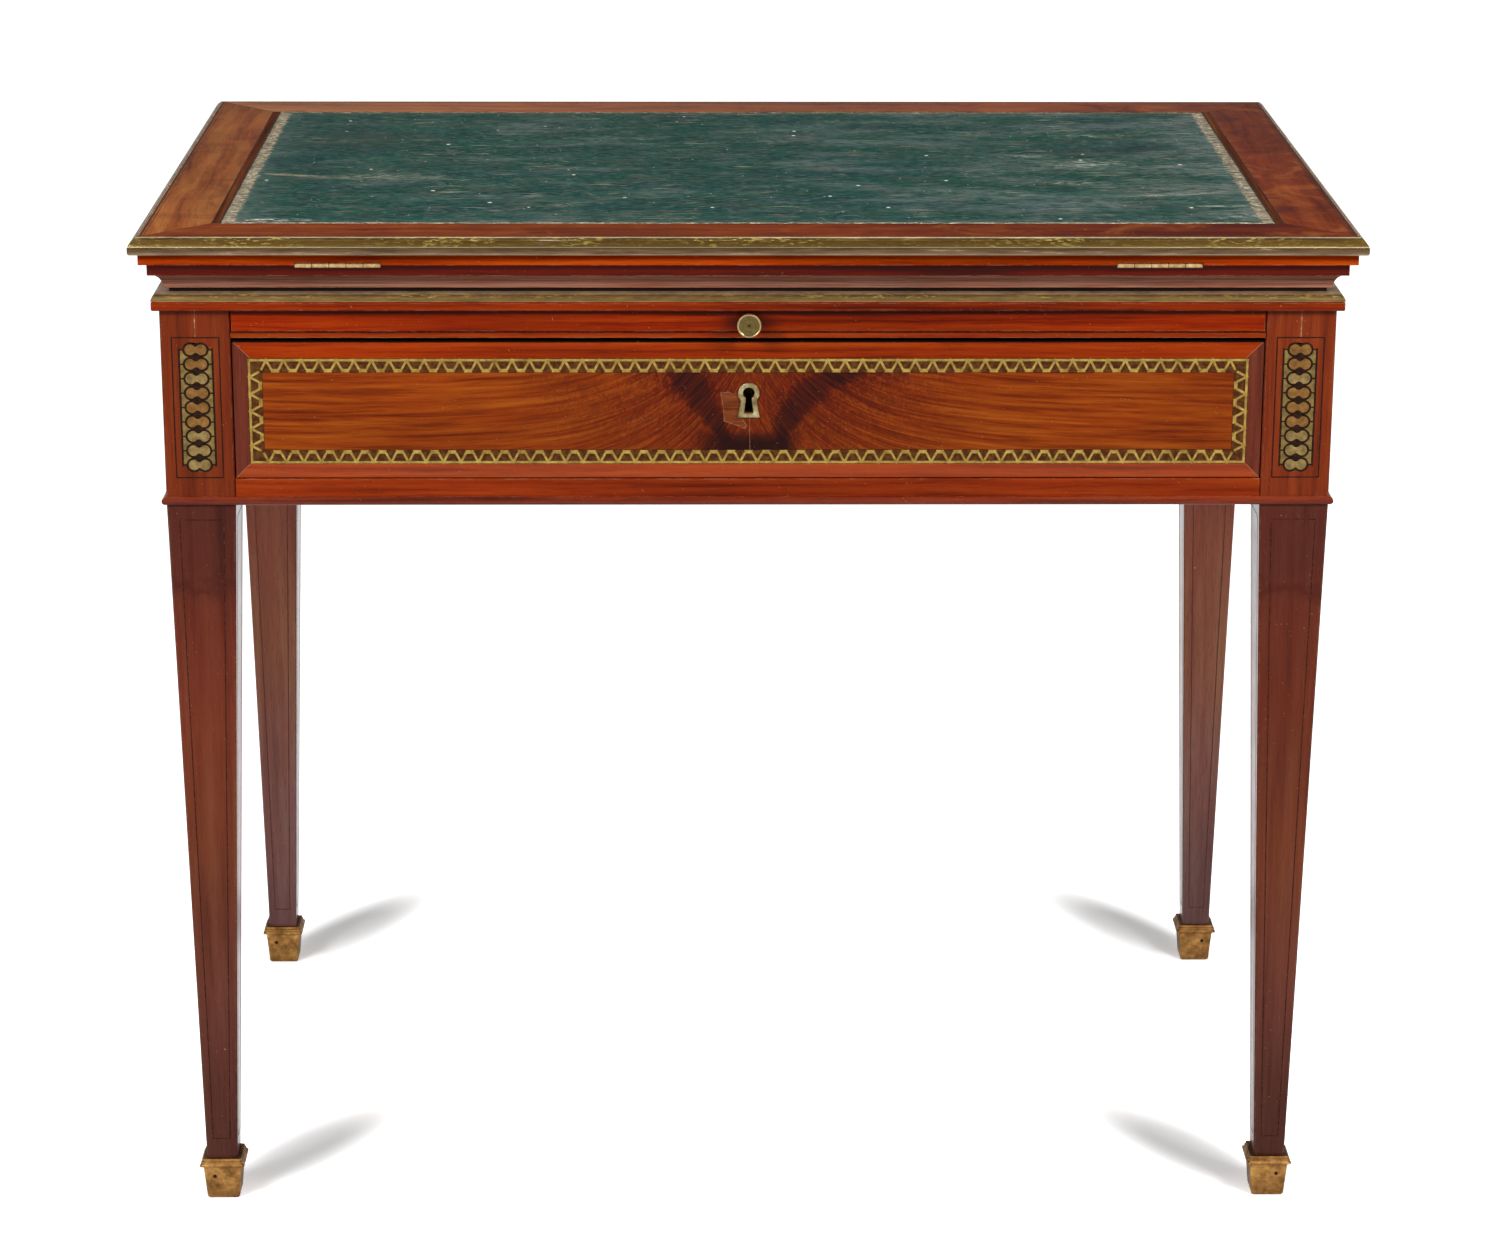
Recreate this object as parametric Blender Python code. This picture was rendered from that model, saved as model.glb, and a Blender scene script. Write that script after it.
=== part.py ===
"""Leather-topped drafting table whose top rises on toothed racks and tilts on an easel.

All sizes are in metres and all heights are measured from the floor, with +Z up.
X runs along the table's width and the drawer faces -Y. The origin is on the floor,
under the middle of the table.

The case stands on four tapered legs in brass feet. It holds a writing slide and a
drawer with a lock. A cross arbor behind the drawer turns two pinions, which lift the
moulded top frame on two racks. A ratchet wheel and a pawl hold the arbor. The leather
board is hinged to the front of the top frame, and an easel prop on notched rails
holds it at a slope.
"""

import math

import bmesh
import bpy
from mathutils import Matrix, Vector

# Clearances shared by the whole table

SEAT_GAP = 0.0003
RUNNING_GAP = 0.0005
CUT_OVERRUN = 0.002
WELD_DISTANCE = 0.00001
EDGE_SOFTENING = 0.0008
ROUND_SIDES = 24
SMALL_ROUND_SIDES = 16

# Case and legs

CASE_WIDTH = 0.890
CASE_DEPTH = 0.556
CASE_HEIGHT = 0.1523
LEG_LENGTH = 0.5842
POST_SIDE = 0.053
POST_CORNER = 0.001
LEG_FOOT_SIDE = 0.0246
LEG_OUTER_INSET = 0.010
PANEL_THICKNESS = 0.016
RAIL_THICKNESS = 0.020
LOWER_RAIL_HEIGHT = 0.0206
BOTTOM_THICKNESS = 0.006
DUST_THICKNESS = 0.0047
DIVIDER_THICKNESS = 0.010
LEDGE_WIDTH = 0.0145
RUNNER_HEIGHT = 0.0154
KICKER_HEIGHT = 0.0057

# Mouldings round the case

BEAD_HEIGHT = 0.0067
BEAD_REACH = 0.0034
BEAD_STEPS = 8
CASE_TOP_THICKNESS = 0.0069
CASE_TOP_OVERHANG = 0.0054
RIM_HEIGHT = 0.0056
RIM_WIDTH = 0.0124
RIM_START = math.radians(15.0)
RIM_STEPS = 5

# Brass feet

SABOT_HEIGHT = 0.0354
SABOT_RIM_SIDE = 0.0358
SABOT_SOCKET_FLOOR = 0.009
SABOT_PROFILE_SHARES = (
    (0.66, 0.00),
    (0.72, 0.04),
    (0.845, 0.76),
    (0.87, 0.79),
    (1.00, 0.825),
    (1.00, 0.85),
    (0.95, 0.88),
    (0.91, 0.90),
    (0.91, 0.935),
    (0.86, 0.955),
    (0.86, 1.00),
)

# Inlays let into the posts and the drawer front

INLAY_THICKNESS = 0.0012
POST_INLAY_WIDTH = 0.0252
LINK_PITCH = 0.01125
LINK_COUNT = 9
LINK_REACH_SHARE = 0.40
LINK_HALF_WIDTH_SHARE = 0.36
LINK_ROUND_STEPS = 8
POST_INLAY_DROP = 0.0307
BAND_WIDTH = 0.0105
BAND_SIDE_INSET = 0.0115
BAND_TOP_INSET = 0.0140
BAND_BOTTOM_INSET = 0.0113

# Drawer and its lock

DRAWER_TOP_GAP = 0.0023
DRAWER_BOTTOM_GAP = 0.0008
DRAWER_SIDE_GAP = 0.0010
DRAWER_WALL = 0.010
DRAWER_FLOOR = 0.006
DRAWER_FLOOR_RISE = 0.0035
DRAWER_BACK_DROP = 0.007
DRAWER_WHEEL_GAP = 0.0034
LOCK_WIDTH = 0.048
LOCK_HEIGHT = 0.0574
LOCK_DEPTH = 0.0090
BOLT_WIDTH = 0.016
BOLT_DEPTH = 0.0044
BOLT_LENGTH = 0.0200
BOLT_THROW = 0.0050
MORTISE_DEPTH = 0.0031
KEY_HOLE_DROP = 0.0405
KEY_HOLE_RADIUS = 0.0045
KEY_NECK_HALF_WIDTH = 0.00235
KEY_NECK_DROP = 0.0058
KEY_HEAD_STEPS = 16
KEY_SLOT_HALF_WIDTH = 0.0036
KEY_SLOT_DROP = 0.0153
ESCUTCHEON_RADIUS = 0.0081
ESCUTCHEON_NECK_HALF_WIDTH = 0.0061
ESCUTCHEON_NECK_DROP = 0.0066
ESCUTCHEON_FOOT_HALF_WIDTH = 0.0084
ESCUTCHEON_FOOT_DROP = 0.0190
ESCUTCHEON_THICKNESS = 0.0010

# Writing slide and its knob

SLIDE_THICKNESS = 0.0158
SHELF_REACH = 0.002
KNOB_RADIUS = 0.0093
KNOB_REACH = 0.0170
KNOB_STEM_RADIUS = 0.0038
KNOB_STEM_LENGTH = 0.012
KNOB_PROFILE_SHARES = (
    (0.72, 1.00),
    (0.93, 0.96),
    (1.00, 0.86),
    (1.00, 0.76),
    (0.80, 0.60),
    (0.52, 0.42),
    (0.47, 0.22),
    (0.58, 0.08),
    (0.64, 0.00),
)

# Lifting gear

MODULE = 0.002
PINION_TEETH = 12
PRESSURE_ANGLE = math.radians(25.0)
ADDENDUM_SHARE = 0.90
DEDENDUM_SHARE = 1.20
TOOTH_THINNING = 0.00015
FLANK_STEPS = 4
PINION_WIDTH = 0.010
ARBOR_RADIUS = 0.006
ARBOR_Y = 0.010
ARBOR_END_CLEARANCE = 0.0008
CRANK_SQUARE_SIDE = 0.0082
CRANK_SQUARE_LENGTH = 0.009
CRANK_END_RECESS = 0.004
BUSH_RADIUS = 0.013
BUSH_FLANGE_RADIUS = 0.0165
BUSH_FLANGE_THICKNESS = 0.0015
CRANK_ROOM_RADIUS = 0.0095
RACK_WIDTH = 0.012
RACK_BODY_DEPTH = 0.009
RACK_FLOOR_CLEARANCE = 0.0025
RATCHET_TOP_GAP = 0.00345222
RACK_SIDE_OFFSET = 0.035
GUIDE_WALL = 0.006
BLIND_BEARING_DEPTH = 0.006

# Ratchet wheel and pawl

RATCHET_TEETH = 16
RATCHET_TIP_RADIUS = 0.0175
RATCHET_ROOT_RADIUS = 0.0135
RATCHET_WIDTH = 0.006
RATCHET_WALL_GAP = 0.004
RATCHET_FACE_ANGLE = math.radians(60.0)
PAWL_REACH = 0.030
PAWL_BOSS_RADIUS = 0.0055
PAWL_PIN_RADIUS = 0.003
PAWL_HEAD_RADIUS = 0.005
PAWL_HEAD_THICKNESS = 0.002
PAWL_NOSE_RADIUS = 0.0195
PAWL_TOOTH_GAP = 0.0004
PAWL_FLOOR_GAP = 0.0006
PAWL_THROW = math.radians(130.0)
PAWL_STOP_SHARE = 0.30
PAWL_STOP_RADIUS = 0.0025
PAWL_BOSS_STEPS = 10

# Moulded top frame

FRAME_PANEL_THICKNESS = 0.0088
FRAME_PANEL_GAP = 0.0005
COVE_HEIGHT = 0.0114
COVE_DEPTH = 0.0096
COVE_STEP = 0.0010
COVE_STEPS = 6
FILLET_HEIGHT = 0.0082
FRAME_OVERHANG = 0.0070
FRAME_WIDTH = 0.048
HINGE_SEAM = 0.0010

# Board

BOARD_THICKNESS = 0.0216
BOARD_LIP = 0.0057
BORDER_WIDTH = 0.050
CORE_RECESS = 0.0049
LEATHER_THICKNESS = 0.0010
LEATHER_DROP = 0.0002
EDGE_BRASS_WIDTH = 0.0068
EDGE_BRASS_HEIGHT = 0.0131
EDGE_BRASS_SHARES = (
    (0.08, 0.00),
    (0.50, -0.17),
    (0.88, -0.42),
    (1.00, -0.56),
    (1.00, -0.84),
    (0.94, -0.95),
    (0.80, -1.00),
)
TILT_LIMIT = math.radians(60.0)

# Butt hinges of the board

HINGE_LENGTH = 0.064
HINGE_INSET = 0.1365
HINGE_LEAF_WIDTH = 0.0175
HINGE_BARREL_RADIUS = 0.0022
HINGE_PIN_RADIUS = 0.0010
HINGE_PIN_CLEARANCE = 0.0002
HINGE_LEAF_OFFSET = 0.0008
HINGE_KNUCKLES = 5
HINGE_BARREL_STEPS = 14

# Easel prop and its notched rails

PROP_RADIUS = 0.005
PROP_END_STEPS = 8
PROP_ARM_WIDTH = 0.018
PROP_INSET = 0.215
PROP_TENON_RADIUS = 0.0035
PROP_TENON_LENGTH = 0.012
PROP_CROSSBAR_WIDTH = 0.026
PROP_CROSSBAR_THICKNESS = 0.007
BRACKET_LENGTH = 0.018
BRACKET_WIDTH = 0.014
BRACKET_FLOOR = 0.0030
NOTCH_RAIL_WIDTH = 0.016
NOTCH_PITCH = 0.014
NOTCH_DEPTH = 0.006
NOTCH_SLOPE_SHARE = 0.8
NOTCH_RAIL_MARGIN = 0.012
NOTCH_RAIL_CLEARANCE = 0.0025

# Sizes and levels worked out from the values above

HALF_WIDTH = CASE_WIDTH / 2
HALF_DEPTH = CASE_DEPTH / 2
CASE_BOTTOM = LEG_LENGTH
CASE_TOP = CASE_BOTTOM + CASE_HEIGHT
OPENING_HALF_WIDTH = HALF_WIDTH - POST_SIDE

SLIDE_TOP = CASE_TOP - RUNNING_GAP
SLIDE_BOTTOM = SLIDE_TOP - SLIDE_THICKNESS
DUST_TOP = SLIDE_BOTTOM - RUNNING_GAP
DUST_BOTTOM = DUST_TOP - DUST_THICKNESS
LOWER_RAIL_TOP = CASE_BOTTOM + LOWER_RAIL_HEIGHT
BOTTOM_BOARD_TOP = CASE_BOTTOM + BOTTOM_THICKNESS + SEAT_GAP

DRAWER_FRONT_BOTTOM = LOWER_RAIL_TOP + DRAWER_BOTTOM_GAP
DRAWER_FRONT_TOP = DUST_BOTTOM - DRAWER_TOP_GAP
DRAWER_FRONT_HALF = OPENING_HALF_WIDTH - DRAWER_SIDE_GAP
FRONT_REAR = -HALF_DEPTH + RAIL_THICKNESS
BEHIND_FRONT = FRONT_REAR + SEAT_GAP
LOCK_FRONT = FRONT_REAR - LOCK_DEPTH
BOLT_FRONT = LOCK_FRONT + (LOCK_DEPTH - BOLT_DEPTH) / 2

DIVIDER_OUTER = OPENING_HALF_WIDTH - SEAT_GAP
DIVIDER_INNER = DIVIDER_OUTER - DIVIDER_THICKNESS
LEDGE_INNER = DIVIDER_INNER - LEDGE_WIDTH
RUNNER_TOP = BOTTOM_BOARD_TOP + SEAT_GAP + RUNNER_HEIGHT
KICKER_BOTTOM = DUST_BOTTOM - SEAT_GAP - KICKER_HEIGHT

PITCH_RADIUS = MODULE * PINION_TEETH / 2
TOOTH_PITCH = math.pi * MODULE
ADDENDUM = ADDENDUM_SHARE * MODULE
DEDENDUM = DEDENDUM_SHARE * MODULE
RACK_FOOT = BOTTOM_BOARD_TOP + RACK_FLOOR_CLEARANCE
ARBOR_Z = DUST_BOTTOM - RATCHET_TOP_GAP - RATCHET_TIP_RADIUS
RACK_PITCH_Y = ARBOR_Y + PITCH_RADIUS
RACK_TIP_Y = RACK_PITCH_Y - ADDENDUM
RACK_ROOT_Y = RACK_PITCH_Y + DEDENDUM
RACK_BACK_Y = RACK_ROOT_Y + RACK_BODY_DEPTH
RACK_CENTRE_X = HALF_WIDTH - RACK_SIDE_OFFSET
BORE_RADIUS = ARBOR_RADIUS + SEAT_GAP

RATCHET_OUTER_X = DIVIDER_INNER - RATCHET_WALL_GAP
RATCHET_INNER_X = RATCHET_OUTER_X - RATCHET_WIDTH
DRAWER_REAR = ARBOR_Y - RATCHET_TIP_RADIUS - DRAWER_WHEEL_GAP
LEDGE_REAR = DRAWER_REAR - SEAT_GAP
SHELF_REAR = ARBOR_Y + SHELF_REACH

CASE_TOP_LOW = CASE_TOP + SEAT_GAP
CASE_TOP_HIGH = CASE_TOP_LOW + CASE_TOP_THICKNESS
RIM_LOW = CASE_TOP_HIGH + SEAT_GAP
RIM_HIGH = RIM_LOW + RIM_HEIGHT
PANEL_LOW = RIM_LOW
PANEL_HIGH = PANEL_LOW + FRAME_PANEL_THICKNESS
FRAME_LOW = PANEL_HIGH + SEAT_GAP
FRAME_HIGH = FRAME_LOW + COVE_HEIGHT + FILLET_HEIGHT
FRAME_HALF_X = HALF_WIDTH + FRAME_OVERHANG
FRAME_HALF_Y = HALF_DEPTH + FRAME_OVERHANG

BOARD_LOW = FRAME_HIGH + HINGE_SEAM
BOARD_HIGH = BOARD_LOW + BOARD_THICKNESS
BOARD_HALF_X = FRAME_HALF_X + BOARD_LIP
BOARD_HALF_Y = FRAME_HALF_Y + BOARD_LIP
CORE_HALF_X = BOARD_HALF_X - BORDER_WIDTH - SEAT_GAP
CORE_HALF_Y = BOARD_HALF_Y - BORDER_WIDTH - SEAT_GAP
LEATHER_HIGH = BOARD_HIGH - LEATHER_DROP
LEATHER_LOW = LEATHER_HIGH - LEATHER_THICKNESS
CORE_LOW = BOARD_LOW + CORE_RECESS
CORE_HIGH = LEATHER_LOW - SEAT_GAP

TILT_Y = -(FRAME_HALF_Y + SEAT_GAP + HINGE_BARREL_RADIUS)
TILT_Z = (FRAME_HIGH + BOARD_LOW) / 2
PROP_HALF_SPACING = HALF_WIDTH - PROP_INSET
RAIL_REAR_Y = FRAME_HALF_Y - FRAME_WIDTH - NOTCH_RAIL_CLEARANCE
FOOT_Y = RAIL_REAR_Y - NOTCH_RAIL_MARGIN
PROP_LENGTH = (FOOT_Y - TILT_Y) / 2
PIVOT_Y = TILT_Y + PROP_LENGTH
RAIL_TOP = TILT_Z - PROP_RADIUS - RUNNING_GAP
RAIL_LOW = PANEL_HIGH + SEAT_GAP

RATCHET_STEP = 2 * math.pi / RATCHET_TEETH
RATCHET_MEAN_RADIUS = (RATCHET_TIP_RADIUS + RATCHET_ROOT_RADIUS) / 2
PAWL_PIVOT_Y = (ARBOR_Y + RATCHET_MEAN_RADIUS * math.cos(RATCHET_FACE_ANGLE)
                + PAWL_REACH * math.sin(RATCHET_FACE_ANGLE))
PAWL_PIVOT_Z = (ARBOR_Z + RATCHET_MEAN_RADIUS * math.sin(RATCHET_FACE_ANGLE)
                - PAWL_REACH * math.cos(RATCHET_FACE_ANGLE))

# Finishes: colour, roughness and metallic value

FINISHES = {
    "mahogany": ((0.36, 0.085, 0.025), 0.32, 0.0),
    "dark_mahogany": ((0.135, 0.045, 0.03), 0.36, 0.0),
    "oak": ((0.40, 0.26, 0.14), 0.60, 0.0),
    "brass": ((0.62, 0.45, 0.18), 0.30, 1.0),
    "steel": ((0.30, 0.30, 0.31), 0.40, 1.0),
    "leather": ((0.02, 0.085, 0.078), 0.50, 0.0),
}

# Each moving body hangs from an empty on its joint's axis

BODY_ORIGINS = {
    "case": (0.0, 0.0, 0.0),
    "top_frame": (RACK_CENTRE_X, RACK_PITCH_Y, PANEL_LOW),
    "board": (0.0, TILT_Y, TILT_Z),
    "easel": (0.0, PIVOT_Y, TILT_Z),
    "slide": (0.0, -HALF_DEPTH, SLIDE_BOTTOM),
    "drawer": (0.0, -HALF_DEPTH, DRAWER_FRONT_BOTTOM),
    "bolt": (0.0, BEHIND_FRONT, DRAWER_FRONT_TOP),
    "arbor": (0.0, ARBOR_Y, ARBOR_Z),
    "pawl": (RATCHET_INNER_X, PAWL_PIVOT_Y, PAWL_PIVOT_Z),
}

finishes = {}
bodies = {}


def place(first, second, along, axis):
    """A point from two coordinates in a plane and one along the axis square to it."""
    return {
        "X": (along, first, second),
        "Y": (first, along, second),
        "Z": (first, second, along),
    }[axis]


def loft(sections, closed=False):
    """A face drawn on through sections with the same number of points, or round into a ring."""
    mesh = bmesh.new()
    face = mesh.faces.new([mesh.verts.new(point) for point in sections[0]])
    spent = [face] if closed else []
    following = sections[1:] + (sections[:1] if closed else [])
    for section in following:
        drawn = bmesh.ops.extrude_face_region(mesh, geom=[face])["geom"]
        face = next(item for item in drawn if isinstance(item, bmesh.types.BMFace))
        for corner, point in zip(face.verts, section):
            corner.co = point
        spent.append(face)
    if not closed:
        spent.pop()
    bmesh.ops.delete(mesh, geom=spent, context="FACES_ONLY")
    if closed:
        bmesh.ops.remove_doubles(mesh, verts=mesh.verts, dist=WELD_DISTANCE)
    bmesh.ops.recalc_face_normals(mesh, faces=mesh.faces)
    return mesh


def prism(outline, axis, low, high):
    """A flat outline drawn out along an axis."""
    return loft([[place(u, v, level, axis) for u, v in outline] for level in (low, high)])


def block(low, high):
    """A box between two corners."""
    mesh = bmesh.new()
    size = Vector([far - near for near, far in zip(low, high)])
    middle = Vector([(near + far) / 2 for near, far in zip(low, high)])
    bmesh.ops.create_cube(mesh, size=1.0, matrix=Matrix.LocRotScale(middle, None, size))
    return mesh


def moulding(profile, half_x, half_y):
    """A profile of (outward, height) points run round a rectangle with mitred corners."""
    corners = ((1, 1), (-1, 1), (-1, -1), (1, -1))
    sections = [
        [(side_x * (half_x + out), side_y * (half_y + out), height) for out, height in profile]
        for side_x, side_y in corners
    ]
    return loft(sections, closed=True)


def turned(profile, axis, centre, sides=ROUND_SIDES, hollow=False):
    """A profile of (radius, along) points spun about an axis, closed on itself if hollow."""
    mesh = bmesh.new()
    points = list(profile)
    if not hollow:
        points = [(0.0, points[0][1])] + points + [(0.0, points[-1][1])]
    corners = [mesh.verts.new(place(centre[0] + radius, centre[1], along, axis))
               for radius, along in points]
    edges = [mesh.edges.new(pair) for pair in zip(corners, corners[1:])]
    if hollow:
        edges.append(mesh.edges.new((corners[-1], corners[0])))
    bmesh.ops.spin(mesh, geom=corners + edges, cent=place(centre[0], centre[1], 0.0, axis),
                   axis=place(0.0, 0.0, 1.0, axis), angle=2 * math.pi, steps=sides, use_merge=True)
    bmesh.ops.remove_doubles(mesh, verts=mesh.verts, dist=WELD_DISTANCE)
    bmesh.ops.recalc_face_normals(mesh, faces=mesh.faces)
    return mesh


def rod(radius, axis, centre, low, high, sides=SMALL_ROUND_SIDES):
    """A round rod along an axis."""
    return turned([(radius, low), (radius, high)], axis, centre, sides)


def arc(centre, radius, start, end, steps):
    """Points on a circle from one angle to another, both ends included."""
    points = []
    for step in range(steps + 1):
        angle = start + (end - start) * step / steps
        points.append((centre[0] + radius * math.cos(angle), centre[1] + radius * math.sin(angle)))
    return points


def scaled(shares, width, height):
    """Outline shares turned into sizes."""
    return [(across * width, up * height) for across, up in shares]


def turned_about(point, centre, angle):
    """A point turned about a centre in its plane."""
    across, up = point[0] - centre[0], point[1] - centre[1]
    return (centre[0] + across * math.cos(angle) - up * math.sin(angle),
            centre[1] + across * math.sin(angle) + up * math.cos(angle))


def make_finish(name, colour, roughness, metallic):
    """A Principled finish with a plain colour."""
    finish = bpy.data.materials.new(name)
    finish.use_nodes = True
    shader = finish.node_tree.nodes["Principled BSDF"]
    shader.inputs["Base Color"].default_value = (*colour, 1.0)
    shader.inputs["Roughness"].default_value = roughness
    shader.inputs["Metallic"].default_value = metallic
    finish.diffuse_color = (*colour, 1.0)
    return finish


def mesh_object(name, mesh, origin=(0.0, 0.0, 0.0)):
    """An object with its mesh drawn about the given origin."""
    bmesh.ops.translate(mesh, verts=mesh.verts, vec=[-value for value in origin])
    data = bpy.data.meshes.new(name)
    mesh.to_mesh(data)
    mesh.free()
    made = bpy.data.objects.new(name, data)
    bpy.context.collection.objects.link(made)
    return made


def piece(name, mesh, finish, body, softened=0.0, smooth=False):
    """One named piece of the table, hung from its body's empty."""
    made = mesh_object(name, mesh, BODY_ORIGINS[body])
    made.parent = bodies[body]
    made.data.materials.append(finishes[finish])
    if smooth:
        made.data.shade_smooth()
        made.data.set_sharp_from_angle(angle=math.radians(35.0))
    if softened:
        bevel = made.modifiers.new("soft_edges", "BEVEL")
        bevel.width = softened
        bevel.segments = 1
        bevel.limit_method = "ANGLE"
    return made


def combine(made, mesh, operation):
    """Cut a tool shape from a piece, or add it, with a Boolean."""
    tool = mesh_object(f"{made.name}_tool_{len(made.modifiers)}", mesh)
    tool.hide_render = True
    tool.display_type = "WIRE"
    boolean = made.modifiers.new(tool.name, "BOOLEAN")
    boolean.operation = operation
    boolean.object = tool


def cut(made, mesh):
    """Take a shape away from a piece."""
    combine(made, mesh, "DIFFERENCE")


def add(made, mesh):
    """Fuse a shape with a piece."""
    combine(made, mesh, "UNION")


def side_name(side):
    """The word for a side: right is +X."""
    return "right" if side > 0 else "left"


def leg_span(height):
    """How far the leg's outer and inner faces stand in from the case's face at a height."""
    drop = max(0.0, CASE_BOTTOM - height) / (CASE_BOTTOM - SABOT_HEIGHT)
    outer = LEG_OUTER_INSET * drop
    return outer, outer + POST_SIDE - (POST_SIDE - LEG_FOOT_SIDE) * drop


def square_section(side_x, side_y, outer, inner, corner, height):
    """A square section with cut corners, given by its distances in from the case's faces."""
    xs = [side_x * (HALF_WIDTH - value) for value in (outer, outer + corner, inner - corner, inner)]
    ys = [side_y * (HALF_DEPTH - value) for value in (outer, outer + corner, inner - corner, inner)]
    outline = ((0, 1), (0, 2), (1, 3), (2, 3), (3, 2), (3, 1), (2, 0), (1, 0))
    return [(xs[first], ys[second], height) for first, second in outline]


def build_leg(side_x, side_y, row):
    """A corner post that runs down into a tapered leg, with a tenon in its brass foot."""
    tenon_end = SABOT_SOCKET_FLOOR + SEAT_GAP
    sections = []
    for height in (tenon_end, SABOT_HEIGHT, CASE_BOTTOM, CASE_TOP):
        outer, inner = leg_span(height)
        sections.append(square_section(side_x, side_y, outer, inner, POST_CORNER, height))
    leg = piece(f"leg_{row}_{side_name(side_x)}", loft(sections), "dark_mahogany", "case")
    if side_y < 0:
        outline = post_inlay_outline(side_x, SEAT_GAP)
        cut(leg, prism(outline, "Y", -HALF_DEPTH - CUT_OVERRUN, -HALF_DEPTH + INLAY_THICKNESS + SEAT_GAP))
    return leg


def build_sabot(side_x, side_y, row):
    """A square brass cup with a stepped rim, over the end of a leg."""
    outer, inner = leg_span(SABOT_HEIGHT)
    middle = (outer + inner) / 2
    sections = []
    for reach, height in scaled(SABOT_PROFILE_SHARES, SABOT_RIM_SIDE / 2, SABOT_HEIGHT):
        sections.append(square_section(side_x, side_y, middle - reach, middle + reach, POST_CORNER, height))
    for height in (SABOT_HEIGHT, SABOT_SOCKET_FLOOR):
        outer, inner = leg_span(height)
        sections.append(square_section(
            side_x, side_y, outer - SEAT_GAP, inner + SEAT_GAP, POST_CORNER, height))
    piece(f"sabot_{row}_{side_name(side_x)}", loft(sections), "brass", "case")


def post_inlay_outline(side_x, grown=0.0):
    """The guilloche plate's outline: a rectangle with half a link standing out at each end."""
    middle_x = side_x * (HALF_WIDTH - POST_SIDE / 2)
    half_width = POST_INLAY_WIDTH / 2 + grown
    high = CASE_TOP - POST_INLAY_DROP + grown
    low = high - LINK_PITCH * (LINK_COUNT - 1) - 2 * grown
    link_half = POST_INLAY_WIDTH * LINK_HALF_WIDTH_SHARE + grown
    reach = LINK_PITCH * LINK_REACH_SHARE + grown
    top = arc((0.0, 0.0), 1.0, 0.0, math.pi, LINK_ROUND_STEPS)
    outline = [(middle_x + half_width, low), (middle_x + half_width, high)]
    outline += [(middle_x + link_half * across, high + reach * up) for across, up in top]
    outline += [(middle_x - half_width, high), (middle_x - half_width, low)]
    outline += [(middle_x - link_half * across, low - reach * up) for across, up in top]
    return outline


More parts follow.
